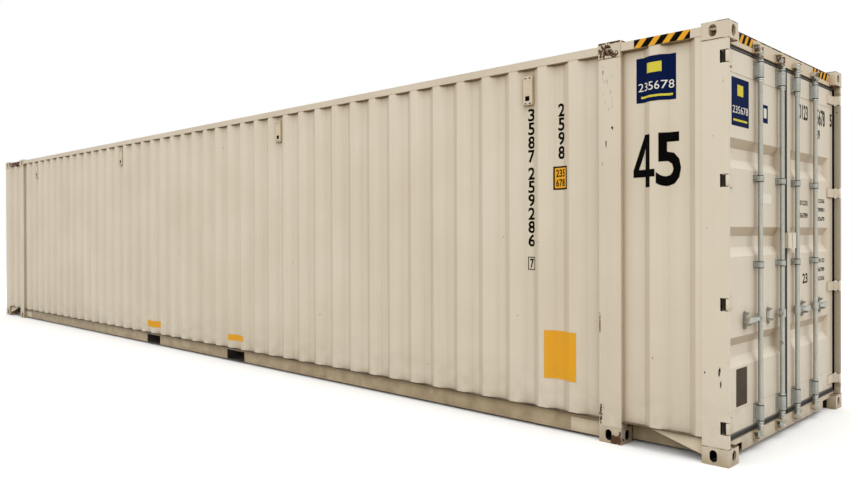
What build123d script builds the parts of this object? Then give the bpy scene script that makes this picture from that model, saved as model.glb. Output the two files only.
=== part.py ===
from build123d import *
import math
import os

os.makedirs("parts", exist_ok=True)

# A forty-five foot high-cube shipping container, in millimetres.
# +X points out of the door end, +Z up. The left side, seen from the doors, is at -Y.
# Side pieces are drawn on the right, at +Y, and mirrored to the left.

# Overall size and the positions of the corner fittings
LENGTH = 13716
WIDTH = 2438
HEIGHT = 2896
BAY_LENGTH = 762
END_X = LENGTH / 2
SIDE_Y = WIDTH / 2
FORTY_X = END_X - BAY_LENGTH

# Cast corner fittings
FITTING_LENGTH = 178
FITTING_WIDTH = 162
FITTING_HEIGHT = 118
FITTING_WALL = 16
FITTING_BEARING_WALL = 28
SLOT_FROM_END = 101.5
SLOT_FROM_SIDE = 89
BASE_SLOT_LENGTH = 124.5
BASE_SLOT_WIDTH = 63.5
FACE_SLOT_HEIGHT = 79.5
SIDE_SLOT_WIDTH = 51
END_SLOT_WIDTH = 63.5
FORTY_INNER_X = FORTY_X - FITTING_LENGTH
CORNER_INNER_X = END_X - FITTING_LENGTH
FITTING_INNER_Y = SIDE_Y - FITTING_WIDTH

# Posts
POST_SET_BACK = 2
POST_WALL = 6
POST_TOP = HEIGHT - FITTING_HEIGHT
FORTY_POST_DEPTH = 89

# Corrugated side walls
WALL_SET_BACK = 4
WALL_THICKNESS = 2
WALL_DEPTH = 36
WALL_PITCH = 278
WALL_CREST = 72
WALL_SLOPE = 68
BAY_SLOPE = 56
BAY_CREST_START = 218
BAY_CREST_END = 290
BAY_LAST_SLOPE_START = 488
BAY_LAST_CREST_START = 542
WALL_OUTER_Y = SIDE_Y - WALL_SET_BACK
WALL_INNER_Y = WALL_OUTER_Y - WALL_DEPTH
WALL_CREST_COUNT = int(2 * FORTY_INNER_X // WALL_PITCH)
LAST_CREST_X = (WALL_CREST_COUNT - 1) / 2 * WALL_PITCH

# Rails, floor and the pieces below it
RAIL_THICKNESS = 5
RAIL_BOTTOM = 20
RAIL_TOP = 168
RAIL_SET_BACK = 56
RAIL_LOWER_FLANGE = 30
BAY_RAIL_SET_BACK = 174
DOUBLER_LENGTH = 268
DOUBLER_HEIGHT = 105
TOP_RAIL_SIZE = 60
TOP_RAIL_WALL = 4
TOP_RAIL_DROP = 21
TOP_RAIL_SET_BACK = 2
FLOOR_THICKNESS = 28
FLOOR_TOP = 172
FLOOR_GAP = 3
MEMBER_PITCH = 300
MEMBER_FLANGE = 45
MEMBER_THICKNESS = 4
RAIL_WEB_Y = SIDE_Y - RAIL_SET_BACK
BAY_WEB_Y = SIDE_Y - BAY_RAIL_SET_BACK
MEMBER_BOTTOM = RAIL_BOTTOM + RAIL_THICKNESS
FLOOR_BOTTOM = FLOOR_TOP - FLOOR_THICKNESS
TOP_RAIL_TOP = HEIGHT - TOP_RAIL_DROP
TOP_RAIL_BOTTOM = TOP_RAIL_TOP - TOP_RAIL_SIZE

# Forklift pockets
POCKET_X = 1025
POCKET_WIDTH = 360
POCKET_TOP = 132
POCKET_PLATE = 6
POCKET_STRAP_LENGTH = 200

# Transverse beams between the forty-foot fittings
BEAM_WALL = 6
LOWER_BEAM_WIDTH = 150
LOWER_BEAM_TOP = 135
UPPER_BEAM_WIDTH = 100
UPPER_BEAM_HEIGHT = 56

# Stamped roof
ROOF_DROP = 4
ROOF_TOP = TOP_RAIL_TOP - ROOF_DROP
ROOF_THICKNESS = 2
TROUGH_PITCH = 209
TROUGH_WIDTH = 118
TROUGH_DEPTH = 20
TROUGH_SLOPE = 14
TROUGH_END_MARGIN = 70

# Front end
FRONT_SET_BACK = 4
FRONT_DEPTH = 45
FRONT_PITCH = 250
FRONT_CREST = 105
FRONT_SLOPE = 20
FRONT_CREST_COUNT = int(2 * FITTING_INNER_Y // FRONT_PITCH)
FRONT_RAIL_DEPTH = 62
FRONT_HEADER_HEIGHT = 80

# Door end: depths along X, and the beams over and under the doors
DOOR_SET_BACK = 58
DOOR_THICKNESS = 50
HEADER_SET_BACK = 50
HEADER_DEPTH = 118
HEADER_DROP = 20
HEADER_HEIGHT = 104
HEADER_STOP_HEIGHT = 37
HEADER_WALL = 5
STOP_GAP = 6
SILL_BOTTOM = 38
SILL_TOP = 132
SILL_NOTCH_WIDTH = 187
SILL_NOTCH_TOP = 97
DOOR_FACE_X = END_X - DOOR_SET_BACK
DOOR_INNER_X = DOOR_FACE_X - DOOR_THICKNESS
STOP_X = DOOR_INNER_X - STOP_GAP
HEADER_FACE_X = END_X - HEADER_SET_BACK
HEADER_INNER_X = HEADER_FACE_X - HEADER_DEPTH
HEADER_TOP = HEIGHT - HEADER_DROP
HEADER_BOTTOM = HEADER_TOP - HEADER_HEIGHT
HEADER_STOP_BOTTOM = HEADER_BOTTOM - HEADER_STOP_HEIGHT
SILL_NOTCH_INNER_Y = FITTING_INNER_Y - SILL_NOTCH_WIDTH

# Rear corner posts
REAR_BAR_THICKNESS = 52
REAR_BAR_SET_BACK = 32
REAR_WEB_SET_BACK = 24
REAR_STOP_SET_BACK = 51
REAR_BAR_INNER_X = END_X - REAR_BAR_THICKNESS
REAR_BAR_INNER_Y = SIDE_Y - REAR_BAR_SET_BACK
REAR_WEB_Y = SIDE_Y - REAR_WEB_SET_BACK
REAR_STOP_Y = SIDE_Y - REAR_STOP_SET_BACK
REAR_POST_X = END_X - POST_SET_BACK

# Door leaves
DOOR_INNER_Y = 30
DOOR_SIDE_SET_BACK = 57
DOOR_TOP_GAP = 30
DOOR_BOTTOM_GAP = 33
LEAF_INNER_STILE = 80
LEAF_OUTER_STILE = 52
LEAF_BOTTOM_RAIL = 155
LEAF_TOP_RAIL = 150
PANEL_THICKNESS = 3
PANEL_SET_BACK = 2
RECESS_DEPTH = 36
RECESS_HEIGHT = 202
RECESS_FLAT = 76
RECESS_END_SLOPE = 34
RECESS_END_MARGIN = 66
LOW_RECESS_Z = 713
MIDDLE_RECESS_Z = 1458
HIGH_RECESS_Z = 2055
DOOR_OUTER_Y = SIDE_Y - DOOR_SIDE_SET_BACK
DOOR_BOTTOM = SILL_TOP + DOOR_BOTTOM_GAP
DOOR_TOP = HEADER_BOTTOM - DOOR_TOP_GAP
PANEL_FACE_X = DOOR_FACE_X - PANEL_SET_BACK
GASKET_DEPTH = 34
GASKET_FACE_SET_BACK = 8
GASKET_SIDE_SET_BACK = 34
GASKET_CENTRE_Y = 5
GASKET_BOTTOM_GAP = 6
GASKET_TOP_GAP = 9
GASKET_OUTER_Y = SIDE_Y - GASKET_SIDE_SET_BACK
GASKET_BOTTOM = SILL_TOP + GASKET_BOTTOM_GAP
GASKET_TOP = HEADER_BOTTOM - GASKET_TOP_GAP

# Hinges
PIN_END_SET_BACK = 20
PIN_SIDE_SET_BACK = 21
PIN_X = END_X - PIN_END_SET_BACK
PIN_Y = SIDE_Y - PIN_SIDE_SET_BACK
PIN_RADIUS = 8
PIN_CLEARANCE = 0.05
PIN_SEAT = 24
KNUCKLE_RADIUS = 19.5
HINGE_HEIGHT = 75
HINGE_GAP = 5
HINGE_STRAP = 12
HINGE_STRAP_LENGTH = 147
HINGE_STRAP_BEND = 6
HINGE_STRAP_OVERHANG = 4
HINGE_ARM_INSET = 0.4
HINGE_ARM_TURN = 2.4
HINGE_NOTCH_MARGIN = 3
HINGE_FROM_DOOR_BOTTOM = 85
HINGE_FROM_DOOR_TOP = 81
HINGE_COUNT = 4
HINGE_STRAP_INNER_Y = DOOR_OUTER_Y - HINGE_STRAP_LENGTH
HINGE_NOTCH_X = REAR_BAR_INNER_X - HINGE_NOTCH_MARGIN
HINGE_LOW_Z = DOOR_BOTTOM + HINGE_FROM_DOOR_BOTTOM
HINGE_PITCH = (DOOR_TOP - HINGE_FROM_DOOR_TOP - HINGE_LOW_Z) / (HINGE_COUNT - 1)
HINGE_HEIGHTS = [HINGE_LOW_Z + i * HINGE_PITCH for i in range(HINGE_COUNT)]

# Locking gear
BAR_STAND_OFF = 33
BAR_RADIUS = 17
INNER_BAR_Y = 165.5
OUTER_BAR_Y = 599.5
BAR_BOTTOM_GAP = 50
BAR_TOP_GAP = 62
BAR_CLEARANCE = 0.5
BAR_X = DOOR_FACE_X + BAR_STAND_OFF
BAR_BOTTOM = SILL_BOTTOM + BAR_BOTTOM_GAP
BAR_TOP = HEADER_TOP - BAR_TOP_GAP
BAR_POSITIONS = (-OUTER_BAR_Y, -INNER_BAR_Y, INNER_BAR_Y, OUTER_BAR_Y)
CAM_RADIUS = 20
CAM_HALF_HEIGHT = 18
CAM_TONGUE = 52
CAM_TONGUE_THICKNESS = 18
CAM_FROM_BAR_END = 14
LOWER_CAM_Z = BAR_BOTTOM + CAM_FROM_BAR_END
UPPER_CAM_Z = BAR_TOP - CAM_FROM_BAR_END
KEEPER_GAP = 6
KEEPER_LIP = 7
KEEPER_BASE = 5
KEEPER_REACH = 38
KEEPER_START = 22
KEEPER_END = 78
CLAW_START = 26
CLAW_END = 46
CLAW_REACH = 30
CLAW_TAPER = 6
CLAW_HALF_HEIGHT = 14
HOUSING_HEIGHT = 130
HOUSING_WIDTH = 92
HOUSING_BASE = 6
HOUSING_BARREL = 24
HOUSING_BARREL_HEIGHT = 104
GUIDE_HEIGHT = 52
GUIDE_WIDTH = 84
GUIDE_BARREL_HEIGHT = 38
HOUSING_FROM_DOOR_BOTTOM = 87
HOUSING_FROM_DOOR_TOP = 82
LOWER_GUIDE_Z = 1293
UPPER_GUIDE_Z = 1898
HOUSING_HEIGHTS = (DOOR_BOTTOM + HOUSING_FROM_DOOR_BOTTOM, DOOR_TOP - HOUSING_FROM_DOOR_TOP)
GUIDE_HEIGHTS = (LOWER_GUIDE_Z, UPPER_GUIDE_Z)

# Handles and their catches
HANDLE_Z = 921
HANDLE_PIVOT = 42
HANDLE_SET_OUT = 12
HANDLE_THICKNESS = 16
HANDLE_HUB_RADIUS = 17
HANDLE_NECK = 24
HANDLE_NECK_LENGTH = 70
HANDLE_GRIP = 38
HANDLE_GRIP_START = 105
HANDLE_LENGTH = 225
HANDLE_END_CUT = 26
HANDLE_PIN_RADIUS = 6
HANDLE_PIN_HEAD = 3
HUB_HEIGHT = 58
HUB_RADIUS = 24
HUB_LUG = 12
HUB_LUG_GAP = 1.5
CATCH_OFFSET = 203
CATCH_WIDTH = 44
CATCH_BASE = 6
CATCH_BELOW_HANDLE = 68
CATCH_ABOVE_HANDLE = 58
CATCH_SHELF = 9
CATCH_SHELF_WIDTH = 34
CATCH_SHELF_GAP = 7
CATCH_REACH = 52
HASP_GAP = 8
HASP_HEIGHT = 24
HASP_REACH = 30
HASP_WIDTH = 22

# Lock box over the gap between the doors
LOCK_BOX_OUTER_Y = 85
LOCK_BOX_INNER_Y = 5
LOCK_BOX_BOTTOM = 1400
LOCK_BOX_TOP = 1517
LOCK_BOX_DEPTH = 50
LOCK_BOX_WALL = 4
LOCK_BOX_FLANGE_BOTTOM = 1361
LOCK_BOX_FLANGE_WIDTH = 50

# Small fixed pieces
VENT_WIDTH = 84
VENT_HEIGHT = 228
VENT_DEPTH = 28
VENT_BELOW_RAIL = 55
VENT_TOP = TOP_RAIL_BOTTOM - VENT_BELOW_RAIL
VENT_RECESSES = (2, 14)
GUSSET_LENGTH = 400
GUSSET_THICKNESS = 6
GUSSET_LOW = 45
GUSSET_SET_BACK = 29
GUSSET_Y = SIDE_Y - GUSSET_SET_BACK


def block(x0, x1, y0, y1, z0, z1):
    """A rectangular solid between two opposite corners."""
    middle = Pos((x0 + x1) / 2, (y0 + y1) / 2, (z0 + z1) / 2)
    return middle * Box(x1 - x0, y1 - y0, z1 - z0)


def section(axis, points, start):
    """A polygon that stands across the axis at the start, as a face."""
    place = {
        "x": lambda a, b: (start, a, b),
        "y": lambda a, b: (a, start, b),
        "z": lambda a, b: (a, b, start),
    }[axis]
    return make_face(Polyline(*[place(a, b) for a, b in points], close=True))


def prism(axis, points, start, end):
    """A straight bar with a polygon as its section, along one axis."""
    direction = {"x": (1, 0, 0), "y": (0, 1, 0), "z": (0, 0, 1)}[axis]
    return extrude(section(axis, points, start), end - start, dir=direction)


def offset_points(points, distance):
    """An open line of points, set off to its left with sharp corners."""
    moved = []
    last = len(points) - 1
    for i, (a, b) in enumerate(points):
        before = Vector(*points[max(i, 1)]) - Vector(*points[max(i, 1) - 1])
        after = Vector(*points[min(i, last - 1) + 1]) - Vector(*points[min(i, last - 1)])
        turn = before.normalized() + after.normalized()
        share = 2 * distance / (turn.length * turn.length)
        moved.append((a - turn.Y * share, b + turn.X * share))
    return moved


def bent_sheet(axis, points, thickness, start, end):
    """A sheet bent along the points, its thickness to their left, along one axis."""
    outline = points + offset_points(points, thickness)[::-1]
    return prism(axis, outline, start, end)


def tube(axis, a0, a1, b0, b1, wall, start, end):
    """A rectangular hollow section along one axis."""
    outer = [(a0, b0), (a1, b0), (a1, b1), (a0, b1)]
    inner = [(a0 + wall, b0 + wall), (a1 - wall, b0 + wall), (a1 - wall, b1 - wall), (a0 + wall, b1 - wall)]
    return prism(axis, outer, start, end) - prism(axis, inner, start, end)


def hollow_prism(axis, points, wall, start, end):
    """A closed hollow section of any outline along one axis."""
    face = section(axis, points, start)
    ring = face - offset(face, -wall, kind=Kind.INTERSECTION)
    direction = {"x": (1, 0, 0), "y": (0, 1, 0), "z": (0, 0, 1)}[axis]
    return extrude(ring, end - start, dir=direction)


def slot_cutter(centre, along, through, length, width, reach):
    """A round-ended slot that cuts both ways from its centre."""
    plane = Plane(origin=centre, x_dir=along, z_dir=through)
    return extrude(plane * SlotOverall(length, width), reach, both=True)


def rod(centre, direction, radius, length):
    """A round bar centred on a point."""
    return extrude(Plane(origin=centre, z_dir=direction) * Circle(radius), length / 2, both=True)


def pressing(x0, x1, y0, y1, z0, z1, slope_y, slope_z):
    """A tapered solid from its large face at x1 to its small face at x0."""
    large = Plane(origin=(x1, (y0 + y1) / 2, (z0 + z1) / 2), x_dir=(0, 1, 0), z_dir=(1, 0, 0))
    small = Plane(origin=(x0, (y0 + y1) / 2, (z0 + z1) / 2), x_dir=(0, 1, 0), z_dir=(1, 0, 0))
    large_face = large * Rectangle(y1 - y0, z1 - z0)
    small_face = small * Rectangle(y1 - y0 - 2 * slope_y, z1 - z0 - 2 * slope_z)
    return loft([small_face, large_face])


def left_copy(shape):
    """The same piece on the other side of the container."""
    return shape.mirror(Plane.XZ)


def front_copy(shape):
    """The same piece at the other end of the container."""
    return shape.mirror(Plane.YZ)


def both_sides(*shapes):
    """Pieces drawn at +Y, and their mirror images at -Y."""
    return list(shapes) + [left_copy(shape) for shape in shapes]


def both_ends(shapes):
    """Pieces drawn at +X, and their mirror images at -X."""
    return list(shapes) + [front_copy(shape) for shape in shapes]


def save(name, *shapes):
    """Write one named sub-part as a STEP file."""
    solids = [solid for shape in shapes for solid in shape.solids()]
    piece = solids[0] if len(solids) == 1 else Compound(solids)
    piece.label = name
    export_step(piece, f"parts/{name}.step")


# Corner fittings


def fitting(end_x):
    """A bottom corner fitting: a hollow casting with a slot in each of three faces."""
    outer = block(end_x - FITTING_LENGTH, end_x, FITTING_INNER_Y, SIDE_Y, 0, FITTING_HEIGHT)
    cavity = block(
        end_x - FITTING_LENGTH + FITTING_WALL,
        end_x - FITTING_WALL,
        FITTING_INNER_Y + FITTING_WALL,
        SIDE_Y - FITTING_WALL,
        FITTING_BEARING_WALL,
        FITTING_HEIGHT - FITTING_WALL,
    )
    slot_x = end_x - SLOT_FROM_END
    slot_y = SIDE_Y - SLOT_FROM_SIDE
    middle = FITTING_HEIGHT / 2
    base = slot_cutter(
        (slot_x, slot_y, 0), (1, 0, 0), (0, 0, 1), BASE_SLOT_LENGTH, BASE_SLOT_WIDTH, FITTING_BEARING_WALL
    )
    side = slot_cutter(
        (slot_x, SIDE_Y, middle), (0, 0, 1), (0, 1, 0), FACE_SLOT_HEIGHT, SIDE_SLOT_WIDTH, FITTING_WALL
    )
    end = slot_cutter(
        (end_x, slot_y, middle), (0, 0, 1), (1, 0, 0), FACE_SLOT_HEIGHT, END_SLOT_WIDTH, FITTING_WALL
    )
    return outer - cavity - base - side - end


def fitting_set(end_x):
    """The eight like fittings at one distance from the middle."""
    bottom = both_ends(both_sides(fitting(end_x)))
    top = [shape.mirror(Plane.XY.offset(HEIGHT / 2)) for shape in bottom]
    return bottom + top


# Posts


def rear_post():
    """The rear right corner post: a hollow stop section, a web and a thick rear bar with hinge notches."""
    outer_y = SIDE_Y - POST_SET_BACK
    outline = [
        (CORNER_INNER_X, REAR_STOP_Y),
        (STOP_X, REAR_STOP_Y),
        (STOP_X, REAR_WEB_Y),
        (REAR_BAR_INNER_X, REAR_WEB_Y),
        (REAR_BAR_INNER_X, REAR_BAR_INNER_Y),
        (REAR_POST_X, REAR_BAR_INNER_Y),
        (REAR_POST_X, outer_y),
        (CORNER_INNER_X, outer_y),
    ]
    post = prism("z", outline, FITTING_HEIGHT, POST_TOP)
    post -= block(
        CORNER_INNER_X + POST_WALL,
        STOP_X - POST_WALL,
        REAR_STOP_Y + POST_WALL,
        outer_y - POST_WALL,
        FITTING_HEIGHT,
        POST_TOP,
    )
    for z in HINGE_HEIGHTS:
        half = HINGE_HEIGHT / 2 + HINGE_GAP
        post -= block(HINGE_NOTCH_X, END_X, REAR_BAR_INNER_Y - 1, SIDE_Y, z - half, z + half)
        post -= rod((PIN_X, PIN_Y, z), (0, 0, 1), PIN_RADIUS + PIN_CLEARANCE, 2 * (half + PIN_SEAT))
    return post


def hinge_pins():
    """The four fixed pins of the right door."""
    length = 2 * (HINGE_HEIGHT / 2 + HINGE_GAP + PIN_SEAT)
    return [rod((PIN_X, PIN_Y, z), (0, 0, 1), PIN_RADIUS, length) for z in HINGE_HEIGHTS]


def front_post():
    """The front right corner post: a pressed closed section with a slanted inner face."""
    end = -END_X + POST_SET_BACK
    outer_y = SIDE_Y - POST_SET_BACK
    outline = [
        (end, FITTING_INNER_Y),
        (end + FRONT_RAIL_DEPTH / 2, FITTING_INNER_Y),
        (-CORNER_INNER_X, WALL_INNER_Y - WALL_THICKNESS),
        (-CORNER_INNER_X, outer_y),
        (end, outer_y),
    ]
    return hollow_prism("z", outline, POST_WALL, FITTING_HEIGHT, POST_TOP)


def forty_foot_post():
    """A hollow post between the rear right forty-foot fittings."""
    outer_y = SIDE_Y - POST_SET_BACK
    inner_y = outer_y - FORTY_POST_DEPTH
    return tube("z", FORTY_INNER_X, FORTY_X, inner_y, outer_y, POST_WALL, FITTING_HEIGHT, POST_TOP)


# Walls and roof


def wave(start, end, crests, half_crest, slope, low, high):
    """A trapezoid wave from start to end, low between the crests."""
    points = [(start, low)]
    for centre in crests:
        points += [(centre - half_crest - slope, low), (centre - half_crest, high)]
        points += [(centre + half_crest, high), (centre + half_crest + slope, low)]
    return points + [(end, low)]


def main_wall():
    """The corrugated wall between the forty-foot posts."""
    crests = [i * WALL_PITCH - LAST_CREST_X for i in range(WALL_CREST_COUNT)]
    end = FORTY_INNER_X
    line = wave(-end, end, crests, WALL_CREST / 2, WALL_SLOPE, WALL_INNER_Y, WALL_OUTER_Y)
    return bent_sheet("z", line, -WALL_THICKNESS, RAIL_TOP, TOP_RAIL_BOTTOM)


def bay_wall():
    """The short wall between the forty-foot post and the corner post."""
    line = [
        (FORTY_X, WALL_INNER_Y),
        (FORTY_X + BAY_CREST_START - BAY_SLOPE, WALL_INNER_Y),
        (FORTY_X + BAY_CREST_START, WALL_OUTER_Y),
        (FORTY_X + BAY_CREST_END, WALL_OUTER_Y),
        (FORTY_X + BAY_CREST_END + BAY_SLOPE, WALL_INNER_Y),
        (FORTY_X + BAY_LAST_SLOPE_START, WALL_INNER_Y),
        (FORTY_X + BAY_LAST_CREST_START, WALL_OUTER_Y),
        (CORNER_INNER_X, WALL_OUTER_Y),
    ]
    return bent_sheet("z", line, -WALL_THICKNESS, RAIL_TOP, TOP_RAIL_BOTTOM)


def front_wall():
    """The corrugated front end wall."""
    outer = -END_X + FRONT_SET_BACK
    first = -(FRONT_CREST_COUNT - 1) / 2 * FRONT_PITCH
    crests = [first + i * FRONT_PITCH for i in range(FRONT_CREST_COUNT)]
    edge = FITTING_INNER_Y
    line = wave(-edge, edge, crests, FRONT_CREST / 2, FRONT_SLOPE, outer + FRONT_DEPTH, outer)
    outline = [(x, y) for y, x in line]
    return bent_sheet("z", outline, -WALL_THICKNESS, RAIL_TOP, HEADER_TOP - FRONT_HEADER_HEIGHT)


def trough(x, grow):
    """One tapered roof trough across the container; grow makes its lower skin."""
    half_x = TROUGH_WIDTH / 2 + grow
    half_y = SIDE_Y - TOP_RAIL_SET_BACK - TOP_RAIL_SIZE - TROUGH_END_MARGIN + grow
    top = Pos(x, 0, ROOF_TOP) * Rectangle(2 * half_x, 2 * half_y)
    low = ROOF_TOP - TROUGH_DEPTH - grow
    bottom = Pos(x, 0, low) * Rectangle(2 * (half_x - TROUGH_SLOPE), 2 * (half_y - TROUGH_SLOPE))
    return loft([bottom, top])


def roof():
    """The stamped roof sheet, cut round the fittings."""
    half_y = SIDE_Y - TOP_RAIL_SET_BACK - TOP_RAIL_SIZE
    end = HEADER_INNER_X
    front = -END_X + POST_SET_BACK + FRONT_RAIL_DEPTH
    sheet = block(front, end, -half_y, half_y, ROOF_TOP - ROOF_THICKNESS, ROOF_TOP)
    count = int((end - front) // TROUGH_PITCH) - 1
    places = [(i - (count - 1) / 2) * TROUGH_PITCH for i in range(count)]
    clear = FITTING_LENGTH / 2 + TROUGH_WIDTH / 2 + ROOF_THICKNESS
    beam_x = FORTY_X - FITTING_LENGTH / 2
    places = [x for x in places if abs(abs(x) - beam_x) > clear]
    sheet += [trough(x, ROOF_THICKNESS) for x in places]
    sheet -= [trough(x, 0) for x in places]
    for x in (-FORTY_X, FORTY_INNER_X, -END_X, CORNER_INNER_X):
        for y in (-SIDE_Y, FITTING_INNER_Y):
            sheet -= block(x, x + FITTING_LENGTH, y, y + FITTING_WIDTH, POST_TOP, HEIGHT)
    return sheet


# Rails, floor and the frame below it


def bottom_rails():
    """The right bottom side rail, in three lengths, with the fork pocket openings."""
    main_line = [
        (WALL_OUTER_Y, RAIL_TOP),
        (RAIL_WEB_Y, RAIL_TOP),
        (RAIL_WEB_Y, MEMBER_BOTTOM),
        (RAIL_WEB_Y - RAIL_LOWER_FLANGE, MEMBER_BOTTOM),
    ]
    bay_line = [
        (WALL_OUTER_Y, RAIL_TOP),
        (BAY_WEB_Y, RAIL_TOP),
        (BAY_WEB_Y, MEMBER_BOTTOM),
        (BAY_WEB_Y - RAIL_LOWER_FLANGE, MEMBER_BOTTOM),
    ]
    main = bent_sheet("x", main_line, RAIL_THICKNESS, -FORTY_INNER_X, FORTY_INNER_X)
    for x in (-POCKET_X, POCKET_X):
        half = POCKET_WIDTH / 2 + POCKET_PLATE
        top = POCKET_TOP + POCKET_PLATE
        main -= block(x - half, x + half, 0, SIDE_Y, 0, top)
    rear_bay = bent_sheet("x", bay_line, RAIL_THICKNESS, FORTY_X, CORNER_INNER_X)
    return [main, rear_bay, front_copy(rear_bay)]


def top_rails():
    """The right top side rail, in three lengths."""
    outer_y = SIDE_Y - TOP_RAIL_SET_BACK
    inner_y = outer_y - TOP_RAIL_SIZE
    spans = [(-FORTY_INNER_X, FORTY_INNER_X), (FORTY_X, CORNER_INNER_X), (-CORNER_INNER_X, -FORTY_X)]
    return [
        tube("x", inner_y, outer_y, TOP_RAIL_BOTTOM, TOP_RAIL_TOP, TOP_RAIL_WALL, start, end)
        for start, end in spans
    ]


def fork_pocket(x):
    """A forklift pocket: a plate tunnel across the frame with a strap below each mouth."""
    half = POCKET_WIDTH / 2
    line = [
        (x + half, MEMBER_BOTTOM),
        (x + half, POCKET_TOP),
        (x - half, POCKET_TOP),
        (x - half, MEMBER_BOTTOM),
    ]
    reach = RAIL_WEB_Y + RAIL_THICKNESS
    pocket = bent_sheet("y", line, -POCKET_PLATE, -reach, reach)
    for y in (-reach, reach - POCKET_STRAP_LENGTH):
        edge = half + POCKET_PLATE
        pocket += block(
            x - edge, x + edge, y, y + POCKET_STRAP_LENGTH, MEMBER_BOTTOM - POCKET_PLATE, MEMBER_BOTTOM
        )
    return pocket


def cross_member(x, reach):
    """A channel section across the frame, its flanges towards the front."""
    line = [
        (x, MEMBER_BOTTOM),
        (x + MEMBER_FLANGE, MEMBER_BOTTOM),
        (x + MEMBER_FLANGE, FLOOR_BOTTOM),
        (x, FLOOR_BOTTOM),
    ]
    return bent_sheet("y", line, MEMBER_THICKNESS, -reach, reach)


def cross_members():
    """All the floor's cross members, left out at the pockets and the forty-foot beams."""
    members = []
    count = int(HEADER_INNER_X // MEMBER_PITCH)
    for i in range(-count, count + 1):
        x = i * MEMBER_PITCH
        near_pocket = abs(abs(x) - POCKET_X) < POCKET_WIDTH / 2 + POCKET_PLATE + MEMBER_FLANGE
        near_beam = FORTY_INNER_X - MEMBER_FLANGE < abs(x) < FORTY_X + MEMBER_FLANGE
        if near_pocket or near_beam:
            continue
        reach = RAIL_WEB_Y if abs(x) < FORTY_INNER_X else BAY_WEB_Y
        members.append(cross_member(x, reach))
    return members


def forty_foot_beams():
    """The beams between the rear forty-foot fittings, below the floor and under the roof."""
    middle = FORTY_X - FITTING_LENGTH / 2
    reach = FITTING_INNER_Y
    lower = tube(
        "y",
        middle - LOWER_BEAM_WIDTH / 2,
        middle + LOWER_BEAM_WIDTH / 2,
        MEMBER_BOTTOM,
        LOWER_BEAM_TOP,
        BEAM_WALL,
        -reach,
        reach,
    )
    top = ROOF_TOP - ROOF_THICKNESS
    upper = tube(
        "y",
        middle - UPPER_BEAM_WIDTH / 2,
        middle + UPPER_BEAM_WIDTH / 2,
        top - UPPER_BEAM_HEIGHT,
        top,
        BEAM_WALL,
        -reach,
        reach,
    )
    return [lower, upper]


def floor():
    """The plywood floor, narrower in the end bays and cut round the forty-foot posts."""
    main_y = RAIL_WEB_Y - FLOOR_GAP
    bay_y = BAY_WEB_Y - FLOOR_GAP
    front = -END_X + POST_SET_BACK + FRONT_RAIL_DEPTH
    deck = block(front, HEADER_INNER_X, -bay_y, bay_y, FLOOR_BOTTOM, FLOOR_TOP)
    main_x = FORTY_INNER_X - FLOOR_GAP
    return deck + block(-main_x, main_x, -main_y, main_y, FLOOR_BOTTOM, FLOOR_TOP)


# Ends


def front_rails():
    """The header and the sill of the front end."""
    outer = -END_X + POST_SET_BACK
    inner = outer + FRONT_RAIL_DEPTH
    reach = FITTING_INNER_Y
    header_low = HEADER_TOP - FRONT_HEADER_HEIGHT
    header = tube("y", outer, inner, header_low, HEADER_TOP, HEADER_WALL, -reach, reach)
    sill = tube("y", outer, inner, RAIL_BOTTOM, RAIL_TOP, HEADER_WALL, -reach, reach)
    return header, sill


def door_header():
    """The beam over the doors, with a stop behind the leaves."""
    outline = [
        (HEADER_INNER_X, HEADER_STOP_BOTTOM),
        (STOP_X, HEADER_STOP_BOTTOM),
        (STOP_X, HEADER_BOTTOM),
        (HEADER_FACE_X, HEADER_BOTTOM),
        (HEADER_FACE_X, HEADER_TOP),
        (HEADER_INNER_X, HEADER_TOP),
    ]
    beam = hollow_prism("y", outline, HEADER_WALL, -FITTING_INNER_Y, FITTING_INNER_Y)
    for y0, y1 in ((-REAR_STOP_Y, -FITTING_INNER_Y), (FITTING_INNER_Y, REAR_STOP_Y)):
        beam += block(HEADER_INNER_X, STOP_X, y0, y1, HEADER_STOP_BOTTOM, POST_TOP)
    return beam


def door_sill():
    """The beam under the doors, notched beside the fittings, with a stop behind the leaves."""
    outline = [
        (HEADER_INNER_X, SILL_BOTTOM),
        (HEADER_FACE_X, SILL_BOTTOM),
        (HEADER_FACE_X, SILL_TOP),
        (STOP_X, SILL_TOP),
        (STOP_X, RAIL_TOP),
        (HEADER_INNER_X, RAIL_TOP),
    ]
    beam = hollow_prism("y", outline, HEADER_WALL, -FITTING_INNER_Y, FITTING_INNER_Y)
    upper = [(x, max(z, FITTING_HEIGHT)) for x, z in outline]
    for y0, y1 in ((-REAR_STOP_Y, -FITTING_INNER_Y), (FITTING_INNER_Y, REAR_STOP_Y)):
        beam += prism("y", upper, y0, y1)
    for y0, y1 in ((-FITTING_INNER_Y, -SILL_NOTCH_INNER_Y), (SILL_NOTCH_INNER_Y, FITTING_INNER_Y)):
        beam -= block(HEADER_INNER_X, HEADER_FACE_X, y0, y1, SILL_BOTTOM, SILL_NOTCH_TOP)
    return beam


def outward(y):
    """Plus one on the right door, minus one on the left: the way a handle points."""
    return math.copysign(1, y)


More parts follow.
